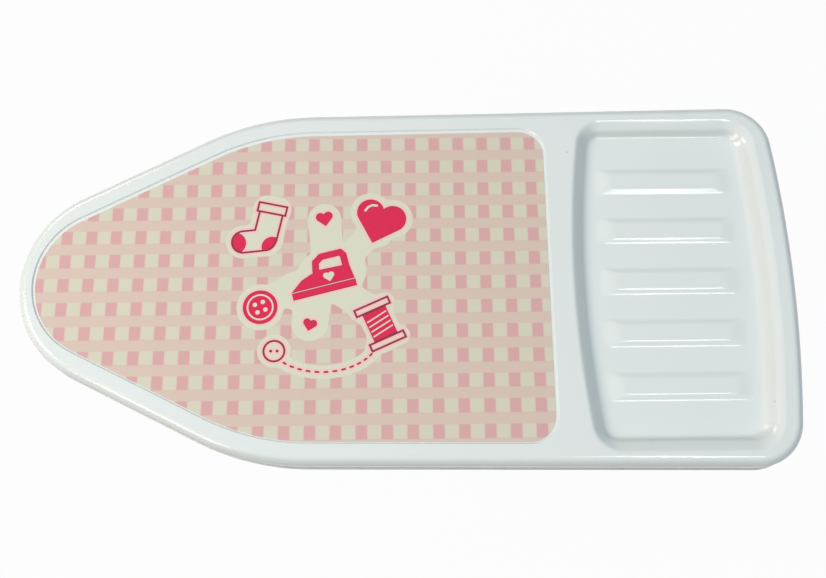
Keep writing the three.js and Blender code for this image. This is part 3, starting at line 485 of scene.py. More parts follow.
def wall_curve():
    """A smooth curve through the rest wall's shares, level at the rim and at the floor."""
    columns = []
    for column in zip(*REST_WALL_SHARES):
        rises = [high - low for low, high in zip(column, column[1:])]
        slopes = [2 * before * after / (before + after) for before, after in zip(rises, rises[1:])]
        is_depth = len(columns) == 2
        slopes = [0.0 if is_depth else rises[0]] + slopes + [0.0 if is_depth else rises[-1]]
        values = []
        for row, rise in enumerate(rises):
            for step in range(REST_WALL_STEPS):
                part = step / REST_WALL_STEPS
                leaving = part * (1 - part) ** 2 * slopes[row]
                arriving = part**2 * (part - 1) * slopes[row + 1]
                values.append(column[row] + rise * smooth_rise(part) + leaving + arriving)
        columns.append(values + [column[-1]])
    return list(zip(*columns))


def rest_hollow(growth):
    """The hollow of the iron rest, or with growth the outside of its moulded wall."""
    rings = []
    for end_share, side_share, depth in reversed(wall_curve()):
        rings.append((rest_outline(end_share, side_share, growth), TOP - growth - REST_DEPTH * depth))
    rings.append((rest_outline(0.0, 0.0, growth), TOP - growth / 2 if growth else TOP + OVERRUN))
    return ring_solid("rest_hollow", rings)


def rib_outline(share, y):
    """A rib's outline, a share of the way up its edges. Its back edge is gentler than its front edge."""
    radius = RIB_CORNER_RADIUS - share * RIB_FRONT_RUN / 2
    left = RIB_NOSE_X + share * RIB_END_RUN + radius
    right = RIB_HEEL_X - share * RIB_END_RUN - radius
    front = y - RIB_WIDTH / 2 + share * RIB_FRONT_RUN + radius
    back = y + RIB_WIDTH / 2 - share * RIB_BACK_RUN - radius
    outline = []
    for quarter, corner in enumerate(((right, front), (right, back), (left, back), (left, front)), start=-1):
        outline += arc(*corner, radius, quarter * math.pi / 2, (quarter + 1) * math.pi / 2, RIB_CORNER_STEPS)
    return outline


def rest_rib(y):
    """A low raised rib that swells softly out of the rest's floor."""
    floor_z = TOP - REST_DEPTH
    rings = [(rib_outline(0.0, y), floor_z - SHELL_WALL / 2)]
    for step in range(RIB_EDGE_STEPS + 1):
        part = step / RIB_EDGE_STEPS
        rings.append((rib_outline(part, y), floor_z + RIB_HEIGHT * smooth_rise(part)))
    return ring_solid("rest_rib", rings)


def node_middle(node):
    """The middle of a CAD piece's box, seen from above."""
    low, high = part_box(node)
    return (low.x + high.x) / 2, (low.y + high.y) / 2


# A boss stands over every screw
SCREW_NODES = sorted(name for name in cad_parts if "_screw_" in name)
BOSS_PLACES = [node_middle(node) for node in SCREW_NODES]


def shade(piece, sharp_degrees):
    """Shades a piece smoothly, apart from its sharp edges."""
    piece.data.shade_smooth()
    piece.data.set_sharp_from_angle(angle=math.radians(sharp_degrees))


def weigh_normals(piece, weight=50):
    """Lets a piece's bigger faces lead its shading."""
    modifier = piece.modifiers.new("weighted_normals", "WEIGHTED_NORMAL")
    modifier.keep_sharp = True
    modifier.weight = weight


def shell_inside(ceiling):
    """What is cut out from below. It leaves the wall, the rest's own wall, the stiffeners and the bosses."""
    rings = [(board_outline(SHELL_WALL), SKIRT_FOOT - OVERRUN), (board_outline(SHELL_WALL), TOP - EDGE_RADIUS)]
    rings += [(board_outline(inset), ceiling - drop) for inset, drop in INSIDE_CORNER]
    inside = ring_solid("shell_inside", rings)
    combine(inside, rest_hollow(SHELL_WALL), "DIFFERENCE")
    foot, half = ceiling - STIFFENER_DEPTH, STIFFENER_THICKNESS / 2
    for step in range(STIFFENER_COUNT):
        x = STIFFENER_FIRST_X + STIFFENER_PITCH * step
        cross = box_solid("stiffener", (x - half, -STIFFENER_REACH, foot), (x + half, STIFFENER_REACH, TOP))
        combine(inside, cross, "DIFFERENCE")
    for y in (-STIFFENER_SPACING, 0.0, STIFFENER_SPACING):
        long = box_solid("stiffener", (NOSE_X, y - half, foot), (REST_NOSE_X - REST_LIP_RADIUS, y + half, TOP))
        combine(inside, long, "DIFFERENCE")
    for x, y in BOSS_PLACES:
        combine(inside, round_solid("boss", x, y, ceiling - BOSS_DEPTH, TOP, BOSS_RADIUS), "DIFFERENCE")
    return inside


def print_recess():
    """The shallow recess for the print, with a soft step down from the rim."""
    rings = []
    for step in range(RECESS_WALL_STEPS + 1):
        part = step / RECESS_WALL_STEPS
        gap = RECESS_WALL_RUN * (RECESS_WALL_OUTER_SHARE - part)
        rings.append((recess_outline(gap), TOP - RECESS_DEPTH * (1 - smooth_rise(part))))
    rings.append((rings[-1][0], TOP + OVERRUN))
    return ring_solid("recess", rings)


def top_shell():
    """The whole moulding, from its filled outside to its ribs and screw holes."""
    ceiling = TOP - RECESS_DEPTH - SHELL_WALL
    shell = board_body()
    for cutter in (shell_inside(ceiling), rest_hollow(0.0), print_recess()):
        combine(shell, cutter, "DIFFERENCE")
    for rib in range(RIB_COUNT):
        combine(shell, rest_rib((rib - (RIB_COUNT - 1) / 2) * RIB_PITCH), "UNION")
    for x, y in BOSS_PLACES:
        hole = round_solid("screw_hole", x, y, ceiling - BOSS_DEPTH - OVERRUN, ceiling, BOSS_HOLE_RADIUS)
        combine(shell, hole, "DIFFERENCE")
    shell.name = "shell"
    shade(shell, SHELL_SHARP_DEGREES)
    weigh_normals(shell, SHELL_NORMAL_WEIGHT)
    return shell


def effect_group(name, inputs, output):
    """A shader group with a place and more inputs and one output, and the sockets that carry them inside it."""
    group = bpy.data.node_groups.new(name, "ShaderNodeTree")
    for socket, value in {"Place": None, **inputs}.items():
        kind = "NodeSocketVector" if value is None else "NodeSocketFloat"
        made = group.interface.new_socket(socket, in_out="INPUT", socket_type=kind)
        if value is not None:
            made.default_value = value
    group.interface.new_socket(output, in_out="OUTPUT", socket_type="NodeSocketFloat")
    return group, group.nodes.new("NodeGroupInput").outputs, group.nodes.new("NodeGroupOutput").inputs


def add_mix(tree, share, first, second):
    """A colour mixed from two colours or sockets by a share."""
    node = tree.nodes.new("ShaderNodeMix")
    node.data_type = "RGBA"
    tree.links.new(share, node.inputs["Factor"])
    colours = [socket for socket in node.inputs if socket.type == "RGBA"]
    for value, socket in zip((first, second), colours):
        feed(tree, value, socket)
    return next(socket for socket in node.outputs if socket.type == "RGBA")


def add_tint(tree, mask, share, colour, tint):
    """A colour tinted by a share of a mask."""
    return add_mix(tree, add_math(tree, "MULTIPLY", mask, share), colour, tint)


def add_noise(tree, place, scale, detail=3.0, roughness=0.5):
    """Soft random clouds over a place."""
    node = tree.nodes.new("ShaderNodeTexNoise")
    for socket, value in (("Vector", place), ("Scale", scale), ("Detail", detail), ("Roughness", roughness)):
        feed(tree, value, node.inputs[socket])
    return node.outputs["Fac"]


def dust_specks_group():
    """A few scattered specks: small dots round some of the points of a random spread."""
    group, given, result = effect_group("dust_specks", {"Scale": 60.0, "Radius": 0.05, "Share": 0.2}, "Mask")
    spread = group.nodes.new("ShaderNodeTexVoronoi")
    group.links.new(given["Place"], spread.inputs["Vector"])
    group.links.new(given["Scale"], spread.inputs["Scale"])
    chance = group.nodes.new("ShaderNodeSeparateColor")
    group.links.new(spread.outputs["Color"], chance.inputs["Color"])
    radius = add_math(group, "MULTIPLY", given["Radius"], add_math(group, "ADD", chance.outputs["Green"], 0.35))
    inside = add_math(group, "LESS_THAN", spread.outputs["Distance"], radius)
    picked = add_math(group, "LESS_THAN", chance.outputs["Red"], given["Share"])
    group.links.new(add_math(group, "MULTIPLY", inside, picked), result["Mask"])
    return group


def rub_marks_group():
    """Dull patches and faint streaks where hands and table tops have rubbed the surface."""
    group, given, result = effect_group("rub_marks", {"Scale": 20.0, "Threshold": 0.55}, "Mask")
    patches = add_noise(group, given["Place"], given["Scale"], 4.0, 0.6)
    streaks = add_noise(group, given["Place"], add_math(group, "MULTIPLY", given["Scale"], 9.0), 2.0, 0.7)
    both = add_math(group, "ADD", patches, add_math(group, "MULTIPLY", streaks, 0.25))
    limits = [add_math(group, "ADD", given["Threshold"], over) for over in (0.08, 0.28)]
    group.links.new(add_range(group, both, *limits), result["Mask"])
    return group


def ripple_group():
    """The slow unevenness of a moulded or painted skin, with a finer one on top."""
    group, given, result = effect_group("surface_ripple", {"Scale": 90.0, "Fine": 0.3}, "Height")
    slow = add_noise(group, given["Place"], given["Scale"], 2.0)
    fine = add_noise(group, given["Place"], add_math(group, "MULTIPLY", given["Scale"], 8.0), 2.0)
    group.links.new(add_math(group, "MULTIPLY_ADD", fine, given["Fine"], slow), result["Height"])
    return group


DUST_SPECKS = dust_specks_group()
RUB_MARKS = rub_marks_group()
SURFACE_RIPPLE = ripple_group()


def add_effect(tree, group, place, **values):
    """A group node with its place linked and its values set."""
    node = tree.nodes.new("ShaderNodeGroup")
    node.node_tree = group
    tree.links.new(place, node.inputs["Place"])
    for socket, value in values.items():
        node.inputs[socket].default_value = value
    return node.outputs[0]


def add_bump(tree, height, strength, distance):
    """The normal of a surface that rises and falls with a height."""
    node = tree.nodes.new("ShaderNodeBump")
    for socket, value in (("Strength", strength), ("Distance", distance), ("Height", height)):
        feed(tree, value, node.inputs[socket])
    return node.outputs["Normal"]


def add_surface(material, colour, roughness, normal, **values):
    """The Principled shader and the output, with the textured sockets linked and the plain ones set."""
    tree = material.node_tree
    shader = tree.nodes.new("ShaderNodeBsdfPrincipled")
    for socket, value in values.items():
        shader.inputs[socket.replace("_", " ")].default_value = value
    for socket, value in (("Base Color", colour), ("Roughness", roughness), ("Normal", normal)):
        tree.links.new(value, shader.inputs[socket])
    output = tree.nodes.new("ShaderNodeOutputMaterial")
    tree.links.new(shader.outputs["BSDF"], output.inputs["Surface"])


def shell_plastic():
    """Glossy white plastic: a very slight ripple, a few specks of dust, rubbed patches, and satin inside."""
    material, tree = new_material("white_shell")
    texture = tree.nodes.new("ShaderNodeTexCoord")
    place = texture.outputs["Object"]
    facing = tree.nodes.new("ShaderNodeSeparateXYZ")
    tree.links.new(texture.outputs["Normal"], facing.inputs["Vector"])
    under = add_math(tree, "LESS_THAN", facing.outputs["Z"], -0.15)
    clouds = add_noise(tree, place, 9.0, 2.0)
    specks = add_effect(tree, DUST_SPECKS, place, Scale=70.0, Radius=0.035, Share=0.16)
    rubs = add_effect(tree, RUB_MARKS, place, Scale=14.0, Threshold=0.56)
    colour = add_tint(tree, specks, 0.55, add_mix(tree, clouds, *SHELL_SHADES), SHELL_SPECK_SHADE)
    roughness = add_math(tree, "MULTIPLY_ADD", rubs, 0.09, 0.13)
    roughness = add_math(tree, "MULTIPLY_ADD", under, 0.30, roughness)
    ripple = add_effect(tree, SURFACE_RIPPLE, place, Scale=55.0, Fine=0.06)
    add_surface(material, colour, roughness, add_bump(tree, ripple, 0.12, 0.0004), IOR=1.5)
    return material


shell = top_shell()
shell.data.materials.clear()
shell.data.materials.append(shell_plastic())
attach(shell, "board")
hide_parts("top_shell")

# Printed cover: a thin satin film stuck in the recess. A soft pink and cream check is printed on it, with crimson
# household motifs and a dashed stitch line on a clear patch near the nose.
CHECK_PITCH = 15.05
CHECK_MIDDLE = (47.31, 73.9)
CHECK_ROW_HALF = 0.275
CHECK_SQUARE_HALF = 0.2225
CHECK_BORDER = 0.055
CHECK_BLUR = 0.022
MOTIF_MIDDLE = (-53.0, 0.0)
MOTIF_LINE_HALF = 0.62
MOTIF_HALO = 1.15
MOTIF_RIM = 0.42
MOTIF_BLUR = 0.12
HALO_BLUR = 0.2
CLEAR_BLUR = 0.25
CLEAR_BLEND = 4.0
SEAM_EDGE = (0.012, 0.04)
SEAM_SHARE = 0.16
FILM_PINK = (0.656, 0.385, 0.383, 1.0)
FILM_CREAM = (0.640, 0.634, 0.506, 1.0)
FILM_STRIPE = (0.658, 0.532, 0.454, 1.0)
FILM_BORDER = (0.690, 0.586, 0.502, 1.0)
FILM_CLEAR = (0.672, 0.694, 0.552, 1.0)
FILM_HALO = (0.900, 0.520, 0.540, 1.0)
FILM_CRIMSON = (0.700, 0.003, 0.074, 1.0)
FILM_DARK_RED = (0.250, 0.018, 0.040, 1.0)
FILM_GRAIN_SHADE = (0.50, 0.45, 0.38, 1.0)
FILM_SPECK_SHADE = (0.22, 0.14, 0.12, 1.0)
FILM_GLOSS = 0.15
FILM_SHARP_DEGREES = 30
FILM_EDGE_STEPS = 4
FILM_LIFT = 0.01 * MM
FILM_EDGE = 0.06 * MM
FILM_GAP = 1.3 * MM
FILM_FRONT_SHIFT = 0.8 * MM


def add_vector_math(tree, operation, first, second, output="Vector"):
    """A Vector Math node over two vectors, or over a vector and the scale for it."""
    node = tree.nodes.new("ShaderNodeVectorMath")
    node.operation = operation
    feed(tree, first, node.inputs[0])
    feed(tree, second, node.inputs["Scale"] if operation == "SCALE" else node.inputs[1])
    return node.outputs[output]


def stroke_group():
    """The distance from a straight stroke, given by its start, its direction and its length."""
    inputs = {"Start": None, "Run": None, "Length": 1.0, "Radius": 0.4}
    group, given, result = effect_group("motif_stroke", inputs, "Distance")
    away = add_vector_math(group, "SUBTRACT", given["Place"], given["Start"])
    travel = add_vector_math(group, "DOT_PRODUCT", away, given["Run"], "Value")
    travel = add_math(group, "MINIMUM", add_math(group, "MAXIMUM", travel, 0.0), given["Length"])
    nearest = add_vector_math(group, "SCALE", given["Run"], travel)
    reach = add_vector_math(group, "DISTANCE", away, nearest, "Value")
    group.links.new(add_math(group, "SUBTRACT", reach, given["Radius"]), result["Distance"])
    return group


def edge_group():
    """The distance over a straight edge, which faces along its normal."""
    group, given, result = effect_group("motif_edge", {"Facing": None, "Reach": 0.0}, "Distance")
    over = add_vector_math(group, "DOT_PRODUCT", given["Place"], given["Facing"], "Value")
    group.links.new(add_math(group, "SUBTRACT", over, given["Reach"]), result["Distance"])
    return group


MOTIF_STROKE = stroke_group()
MOTIF_EDGE = edge_group()


class Motif:
    """One printed motif, drawn in its own turned and placed frame, in millimetres."""

    def __init__(self, tree, place, middle, turn, size=1.0):
        self.tree = tree
        self.place = place
        self.matrix = Matrix.Translation((*middle, 0.0)) @ Matrix.Rotation(math.radians(turn), 4, "Z")
        self.size = size

    def at(self, point):
        """Where a point of the motif lies on the print."""
        return self.matrix @ Vector((point[0] * self.size, point[1] * self.size, 0.0))

    def stroke(self, first, second, radius=MOTIF_LINE_HALF):
        """A straight stroke with round ends."""
        start = self.at(first)
        run = self.at(second) - start
        values = {"Start": start, "Run": run.normalized() if run.length else run, "Length": run.length}
        return add_effect(self.tree, MOTIF_STROKE, self.place, Radius=radius, **values)

    def dot(self, middle, radius):
        """A disc."""
        return self.stroke(middle, middle, radius * self.size)

    def line(self, points, radius=MOTIF_LINE_HALF):
        """Strokes from point to point."""
        return self.join([self.stroke(*pair, radius) for pair in zip(points, points[1:])])

    def convex(self, corners, rounding=0.0):
        """A filled shape with straight edges, its corners given anticlockwise."""
        edges = []
        for first, second in zip(corners, corners[1:] + corners[:1]):
            run = self.at(second) - self.at(first)
            facing = Vector((run.y, -run.x, 0.0)).normalized()
            reach = facing.dot(self.at(first)) + rounding
            edges.append(add_effect(self.tree, MOTIF_EDGE, self.place, Facing=facing, Reach=reach))
        return self.meet(edges)

    def bar(self, half_width, low, high, rounding):
        """An upright rectangle across the motif's middle."""
        corners = [(-half_width, low), (half_width, low), (half_width, high), (-half_width, high)]
        return self.convex(corners, rounding)

    def gather(self, operation, shapes, *values):
        """Shapes put together one after another."""
        total = shapes[0]
        for shape in shapes[1:]:
            total = add_math(self.tree, operation, total, shape, *values)
        return total

    def join(self, shapes):
        """All that lies in any of the shapes."""
        return self.gather("MINIMUM", shapes)

    def join_softly(self, shapes, blend):
        """All the shapes, with the corners between them filled."""
        return self.gather("SMOOTH_MIN", shapes, blend)

    def meet(self, shapes):
        """What lies in every one of the shapes."""
        return self.gather("MAXIMUM", shapes)

    def outline(self, shape, half=MOTIF_LINE_HALF):
        """A line along a shape's edge."""
        return add_math(self.tree, "SUBTRACT", add_math(self.tree, "ABSOLUTE", shape), half)


def heart(motif):
    """Two discs and the wedge that touches them both."""
    middle, radius, tip = (0.46, 0.25), 0.54, (0.0, -0.95)
    away = math.hypot(middle[0] - tip[0], middle[1] - tip[1])
    turn = math.atan2(middle[1] - tip[1], middle[0] - tip[0]) - math.asin(radius / away)
    touch = math.sqrt(away**2 - radius**2)
    right = (tip[0] + touch * math.cos(turn), tip[1] + touch * math.sin(turn))
    wedge = motif.convex([tip, right, middle, (-middle[0], middle[1]), (-right[0], right[1])])
    return motif.join([motif.dot(middle, radius), motif.dot((-middle[0], middle[1]), radius), wedge])


def print_motifs(tree, place):
    """The crimson shapes, dark red lines, pale cuts and clear surrounds of all the motifs, as distances."""
    fills, lines, cuts, clears = [], [], [], []

    iron = Motif(tree, place, (1.0, 3.0), 14)
    sole = iron.convex([(-19, -9.5), (18, -9.5), (18, -7.5), (-19, -7.5)], 1.2)
    body = iron.convex([(-17, -4.6), (17.5, -4.6), (16.5, 2.5), (-2, 3.2), (-12, -0.6)], 1.2)
    grip = iron.line([(-3, 4), (-2, 9.5), (2, 12.2), (14, 12.2), (15.5, 10), (15.5, 4)], 2.1)
    fills += [sole, body, grip]
    cuts.append(heart(Motif(tree, place, iron.at((4, -1.0))[:2], 14, 3.4)))
    clears += [iron.stroke((-20, -8), (14, -8), 8), iron.stroke((0, 0), (12, 1), 15.5)]

    big_heart = Motif(tree, place, (36, 38), -18, 15.5)
    fills.append(heart(big_heart))
    glint = Motif(tree, place, (36, 38), -18)
    cuts.append(glint.line([(-10.6, 4.0), (-9.6, 6.8), (-7.6, 8.6), (-4.8, 9.2)], 0.7))
    clears += [big_heart.dot((x, 0.25), 0.8) for x in (0.46, -0.46)] + [big_heart.dot((0, -0.42), 0.7)]

    sock = Motif(tree, place, (-33, 34), -12)
    ankle, sole_start, sole_end = (0, -6), (0, -7.5), (-12.5, -11.5)
    leg_and_foot = sock.join([sock.stroke((0, 16), ankle, 7.2), sock.stroke(sole_start, sole_end, 6.9)])
    lines.append(sock.outline(sock.meet([leg_and_foot, sock.bar(30, -30, 10, 0.0)])))
    lines.append(sock.outline(sock.bar(8.2, 10.6, 15.2, 0.6)))
    toe, heel = ((-17.5, -13.5), 7.0), ((5.5, -11.0), 6.4)
    fills += [sock.meet([leg_and_foot, sock.dot(*disc)]) for disc in (toe, heel)]
    pads = (((0, 9), ankle, 11), ((-4, 13.5), (4, 13.5), 7.5), (sole_start, sole_end, 10.5))
    clears += [sock.stroke(*pad) for pad in pads]

    spool = Motif(tree, place, (36, -27), 24)
    for y in (-11.5, 11.5):
        lines.append(spool.outline(spool.bar(10, y - 1.2, y + 1.2, 0.9)))
        clears.append(spool.stroke((-8.5, y), (8.5, y), 5.6))
    fills.append(spool.bar(6.6, -8.0, 8.0, 0.9))
    cuts += [spool.stroke((-6.4, y - 1.0), (6.4, y + 1.0), 0.42) for y in (-4.8, -1.6, 1.6, 4.8)]
    clears.append(spool.stroke((0, -6), (0, 6), 10.5))

    button = Motif(tree, place, (-36, -16), 20)
    fills.append(button.dot((0, 0), 10.4))
    cuts.append(button.outline(button.dot((0, 0), 7.6), 0.5))
    cuts += [button.dot((x, y), 1.35) for x in (-2.5, 2.5) for y in (-2.5, 2.5)]
    clears.append(button.dot((0, 0), 14.2))
    small = Motif(tree, place, (-27, -43), 0)
    lines.append(small.outline(small.dot((0, 0), 6.2)))
    lines += [small.dot((x, 0), 0.9) for x in (-1.9, 1.9)]
    clears.append(small.dot((0, 0), 10))

    plain = Motif(tree, place, (0, 0), 0)
    bridges = (
        ((4, 18), (2, 38), 10), ((-4, -10), (-6, -26), 11), ((-16, -2), (-34, -14), 8),
        ((12, -6), (32, -20), 9), ((16, 14), (30, 30), 8),
    )
    clears += [plain.stroke(*bridge) for bridge in bridges]
    for middle, turn, size in (((2, 40), 10, 5.2), ((-6, -27), -14, 4.2)):
        fills.append(heart(Motif(tree, place, middle, turn, size)))
        clears.append(plain.dot(middle, size + 4.2))
    turns = [math.radians(224 + 9 * step) for step in range(13)]
    stitches = [Vector((2 + 34 * math.cos(turn), -34 + 22 * math.sin(turn))) for turn in turns]
    for first, second in zip(stitches, stitches[1:]):
        dash = first.lerp(second, 0.32), first.lerp(second, 0.68)
        lines.append(plain.stroke(*dash, 0.55))
        clears.append(plain.stroke(*dash, 3.8))
    return plain.join(fills), plain.join(lines), plain.join(cuts), plain.join_softly(clears, CLEAR_BLEND)


def print_film():
    """The film's print: the check, the motifs in their clear surrounds, and a little grain, dust and rub."""
    material, tree = new_material("printed_film")
    place = tree.nodes.new("ShaderNodeTexCoord").outputs["Object"]
    millimetres = add_vector_math(tree, "MULTIPLY", place, (1000.0, 1000.0, 0.0))
    parts = tree.nodes.new("ShaderNodeSeparateXYZ")
    tree.links.new(millimetres, parts.inputs["Vector"])

    def from_middle(axis, middle):
        """How far a place is from the nearest middle of the repeat, as a share of the repeat, signed."""
        moved = add_math(tree, "DIVIDE", add_math(tree, "SUBTRACT", parts.outputs[axis], middle), CHECK_PITCH)
        return add_math(tree, "SUBTRACT", add_math(tree, "FRACT", add_math(tree, "ADD", moved, 0.5)), 0.5)

    def within(distance, limit, blur):
        """1 up to a limit and 0 past it, with a soft step between."""
        return add_range(tree, distance, limit - blur, limit + blur, 1.0, 0.0)

    along = from_middle("Y", CHECK_MIDDLE[1])
    wide = add_math(tree, "ABSOLUTE", from_middle("X", CHECK_MIDDLE[0]))
    row = within(add_math(tree, "ABSOLUTE", along), CHECK_ROW_HALF, CHECK_BLUR)
    square = within(wide, CHECK_SQUARE_HALF, CHECK_BLUR)
    beside = within(wide, CHECK_SQUARE_HALF + CHECK_BORDER, CHECK_BORDER / 2)
    under_row = add_math(tree, "ABSOLUTE", add_math(tree, "ADD", along, CHECK_ROW_HALF))
    seam = add_range(tree, under_row, *SEAM_EDGE, 1.0, 0.0)
    colour = add_mix(tree, square, add_mix(tree, beside, FILM_CREAM, FILM_BORDER), FILM_PINK)
    colour = add_tint(tree, seam, SEAM_SHARE, add_mix(tree, row, FILM_STRIPE, colour), FILM_PINK)

    about = add_vector_math(tree, "SUBTRACT", millimetres, (*MOTIF_MIDDLE, 0.0))
    fills, lines, cuts, clears = print_motifs(tree, about)
    ink = add_math(tree, "MINIMUM", fills, lines)
    for distance, limit, blur, print_colour in (
        (clears, 0.0, CLEAR_BLUR, FILM_CLEAR), (ink, MOTIF_HALO, HALO_BLUR, FILM_HALO),
        (fills, 0.0, MOTIF_BLUR, FILM_DARK_RED), (fills, -MOTIF_RIM, MOTIF_BLUR, FILM_CRIMSON),
        (cuts, 0.0, MOTIF_BLUR, FILM_CLEAR), (lines, 0.0, MOTIF_BLUR, FILM_DARK_RED),
    ):
        colour = add_mix(tree, within(distance, limit, blur), colour, print_colour)

    colour = add_tint(tree, add_noise(tree, place, 1500.0, 2.0), 0.10, colour, FILM_GRAIN_SHADE)
    specks = add_effect(tree, DUST_SPECKS, place, Scale=62.0, Radius=0.035, Share=0.22)
    colour = add_tint(tree, specks, 0.7, colour, FILM_SPECK_SHADE)
    rubs = add_effect(tree, RUB_MARKS, place, Scale=16.0, Threshold=0.55)
    roughness = add_math(tree, "MULTIPLY_ADD", rubs, 0.10, 0.20)
    ripple = add_effect(tree, SURFACE_RIPPLE, place, Scale=45.0, Fine=0.05)
    add_surface(material, colour, roughness, add_bump(tree, ripple, 0.15, 0.0005), Specular_IOR_Level=FILM_GLOSS)
    return material


def film():
    """The film's own thin plate, with its cut edge just rounded over."""
    low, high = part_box("printed_cover")
    rings = [(recess_outline(FILM_GAP, FILM_FRONT_SHIFT), low.z + FILM_LIFT)]
    for inset, drop in quarter_round(FILM_EDGE, FILM_EDGE_STEPS):
        rings.append((recess_outline(FILM_GAP + inset, FILM_FRONT_SHIFT), high.z - drop))
    return ring_solid("film", rings)


cover = film()
cover.name = "cover_film"
cover.data.materials.append(print_film())
shade(cover, FILM_SHARP_DEGREES)
weigh_normals(cover)
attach(cover, "board")
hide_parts("printed_cover")

# Hinge brackets: two nylon clevises, each screwed to two bosses under the shell. Their ears hold the pins on which
# the outer leg folds.
BRACKET_WALL = 2.8 * MM
BRACKET_BASE_THICKNESS = 3.0 * MM
BRACKET_EYE_RADIUS = 5.6 * MM
BRACKET_SOFTENING = 0.4 * MM
EAR_SINK = 0.5 * MM
EAR_STEPS = 20
PIN_HOLE_RADIUS = 2.1 * MM
SCREW_HOLE_RADIUS = 1.7 * MM
BOSS_FACE = TOP - RECESS_DEPTH - SHELL_WALL - BOSS_DEPTH
FIXING_SHARP_DEGREES = 32
SOFTENED_FROM_DEGREES = 38
NYLON_SHADES = ((0.70, 0.70, 0.665, 1.0), (0.78, 0.785, 0.76, 1.0))
NYLON_RUBBED = (0.52, 0.52, 0.50, 1.0)
STEEL_SHADES = ((0.50, 0.51, 0.52, 1.0), (0.66, 0.665, 0.66, 1.0))


def slab(name, outline, low, high):
    """A plate cut to an outline in X and Z, between two places along Y."""
    bm = bmesh.new()
    face = bm.faces.new([bm.verts.new((x, low, z)) for x, z in outline])
    made = bmesh.ops.extrude_face_region(bm, geom=[face])["geom"]
    fresh = [vert for vert in made if isinstance(vert, bmesh.types.BMVert)]
    bmesh.ops.translate(bm, vec=(0.0, high - low, 0.0), verts=fresh)
    bmesh.ops.recalc_face_normals(bm, faces=bm.faces)
    return make_object(name, bm)


def turned(name, profile, matrix=Matrix.Identity(4), closed=False, steps=40):
    """A solid turned about its own X, from a profile of radii and reaches, and put in place by a matrix."""
    bm = bmesh.new()
    verts = [bm.verts.new((reach, radius, 0.0)) for radius, reach in profile]
    edges = [bm.edges.new(pair) for pair in zip(verts, verts[1:])]
    if closed:
        edges.append(bm.edges.new((verts[-1], verts[0])))
    turn = {"cent": (0.0, 0.0, 0.0), "axis": (1.0, 0.0, 0.0), "angle": 2 * math.pi, "steps": steps}
    bmesh.ops.spin(bm, geom=verts + edges, use_merge=True, **turn)
    bmesh.ops.remove_doubles(bm, verts=bm.verts, dist=1e-7)
    bmesh.ops.dissolve_degenerate(bm, edges=bm.edges, dist=1e-8)
    bmesh.ops.transform(bm, matrix=matrix, verts=bm.verts)
    bmesh.ops.recalc_face_normals(bm, faces=bm.faces)
    return make_object(name, bm)


def rod_profile(radius, low, high):
    """The profile of a plain rod between two reaches."""
    return [(0.0, low), (radius, low), (radius, high), (0.0, high)]


def along_y(x, z, side=1):
    """Puts a turned solid's own X along Y, towards the front for a side of -1."""
    return Matrix.Translation((x, 0.0, z)) @ Matrix.Rotation(side * math.pi / 2, 4, "Z")


def dress(piece, name, body, node, material, soften=0.0, sharp=FIXING_SHARP_DEGREES):
    """Names a finished piece, shades it, softens its edges, and hands it to the frame."""
    piece.name = name
    piece.data.name = name
    piece.data.materials.clear()
    piece.data.materials.append(material)
    shade(piece, sharp)
    if soften:
        bevel = piece.modifiers.new("softened_edges", "BEVEL")
        bevel.width = soften
        bevel.segments = 2
        bevel.limit_method = "ANGLE"
        bevel.angle_limit = math.radians(SOFTENED_FROM_DEGREES)
        weigh_normals(piece)
    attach(piece, body)
    if node:
        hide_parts(node)


def nylon():
    """Off-white moulded nylon with a satin skin, slightly cloudy."""
    material, tree = new_material("white_nylon")
    place = tree.nodes.new("ShaderNodeTexCoord").outputs["Object"]
    clouds = add_noise(tree, place, 70.0, 3.0)
    rubs = add_effect(tree, RUB_MARKS, place, Scale=60.0, Threshold=0.5)
    colour = add_tint(tree, rubs, 0.25, add_mix(tree, clouds, *NYLON_SHADES), NYLON_RUBBED)
    roughness = add_math(tree, "MULTIPLY_ADD", rubs, 0.16, 0.38)
    grain = add_effect(tree, SURFACE_RIPPLE, place, Scale=420.0, Fine=0.6)
    add_surface(material, colour, roughness, add_bump(tree, grain, 0.22, 0.00012), IOR=1.53)
    return material


def zinc_steel():
    """Zinc-plated steel with a mottled shine and fine scratches."""
    material, tree = new_material("bare_steel")
    place = tree.nodes.new("ShaderNodeTexCoord").outputs["Object"]
    mottle = add_noise(tree, place, 380.0, 4.0, 0.6)
    rubs = add_effect(tree, RUB_MARKS, place, Scale=220.0, Threshold=0.5)
    colour = add_mix(tree, mottle, *STEEL_SHADES)
    roughness = add_math(tree, "MULTIPLY_ADD", rubs, 0.22, 0.24)
    grain = add_effect(tree, SURFACE_RIPPLE, place, Scale=900.0, Fine=0.5)
    add_surface(material, colour, roughness, add_bump(tree, grain, 0.25, 0.00006), Metallic=1.0)
    return material


WHITE_NYLON = nylon()
BARE_STEEL = zinc_steel()
SIDES = (("front", -1), ("back", 1))

hinge_low, hinge_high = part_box("hinge_pin_back")
HINGE = ((hinge_low.x + hinge_high.x) / 2, (hinge_low.z + hinge_high.z) / 2)


def bracket_ear():
    """An ear's outline: it hangs from the base, round the hinge."""
    low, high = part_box("hinge_bracket_back")
    base, top = BOSS_FACE - BRACKET_BASE_THICKNESS, BOSS_FACE - EAR_SINK
    eye = arc(*HINGE, BRACKET_EYE_RADIUS, math.pi, 2 * math.pi, EAR_STEPS)
    return [(high.x, top), (low.x, top), (low.x, base)] + eye + [(high.x, base)]


def bosses_over(low, high):
    """The places of the bosses over a box."""
    return [(x, y) for x, y in BOSS_PLACES if low.x < x < high.x and low.y < y < high.y]


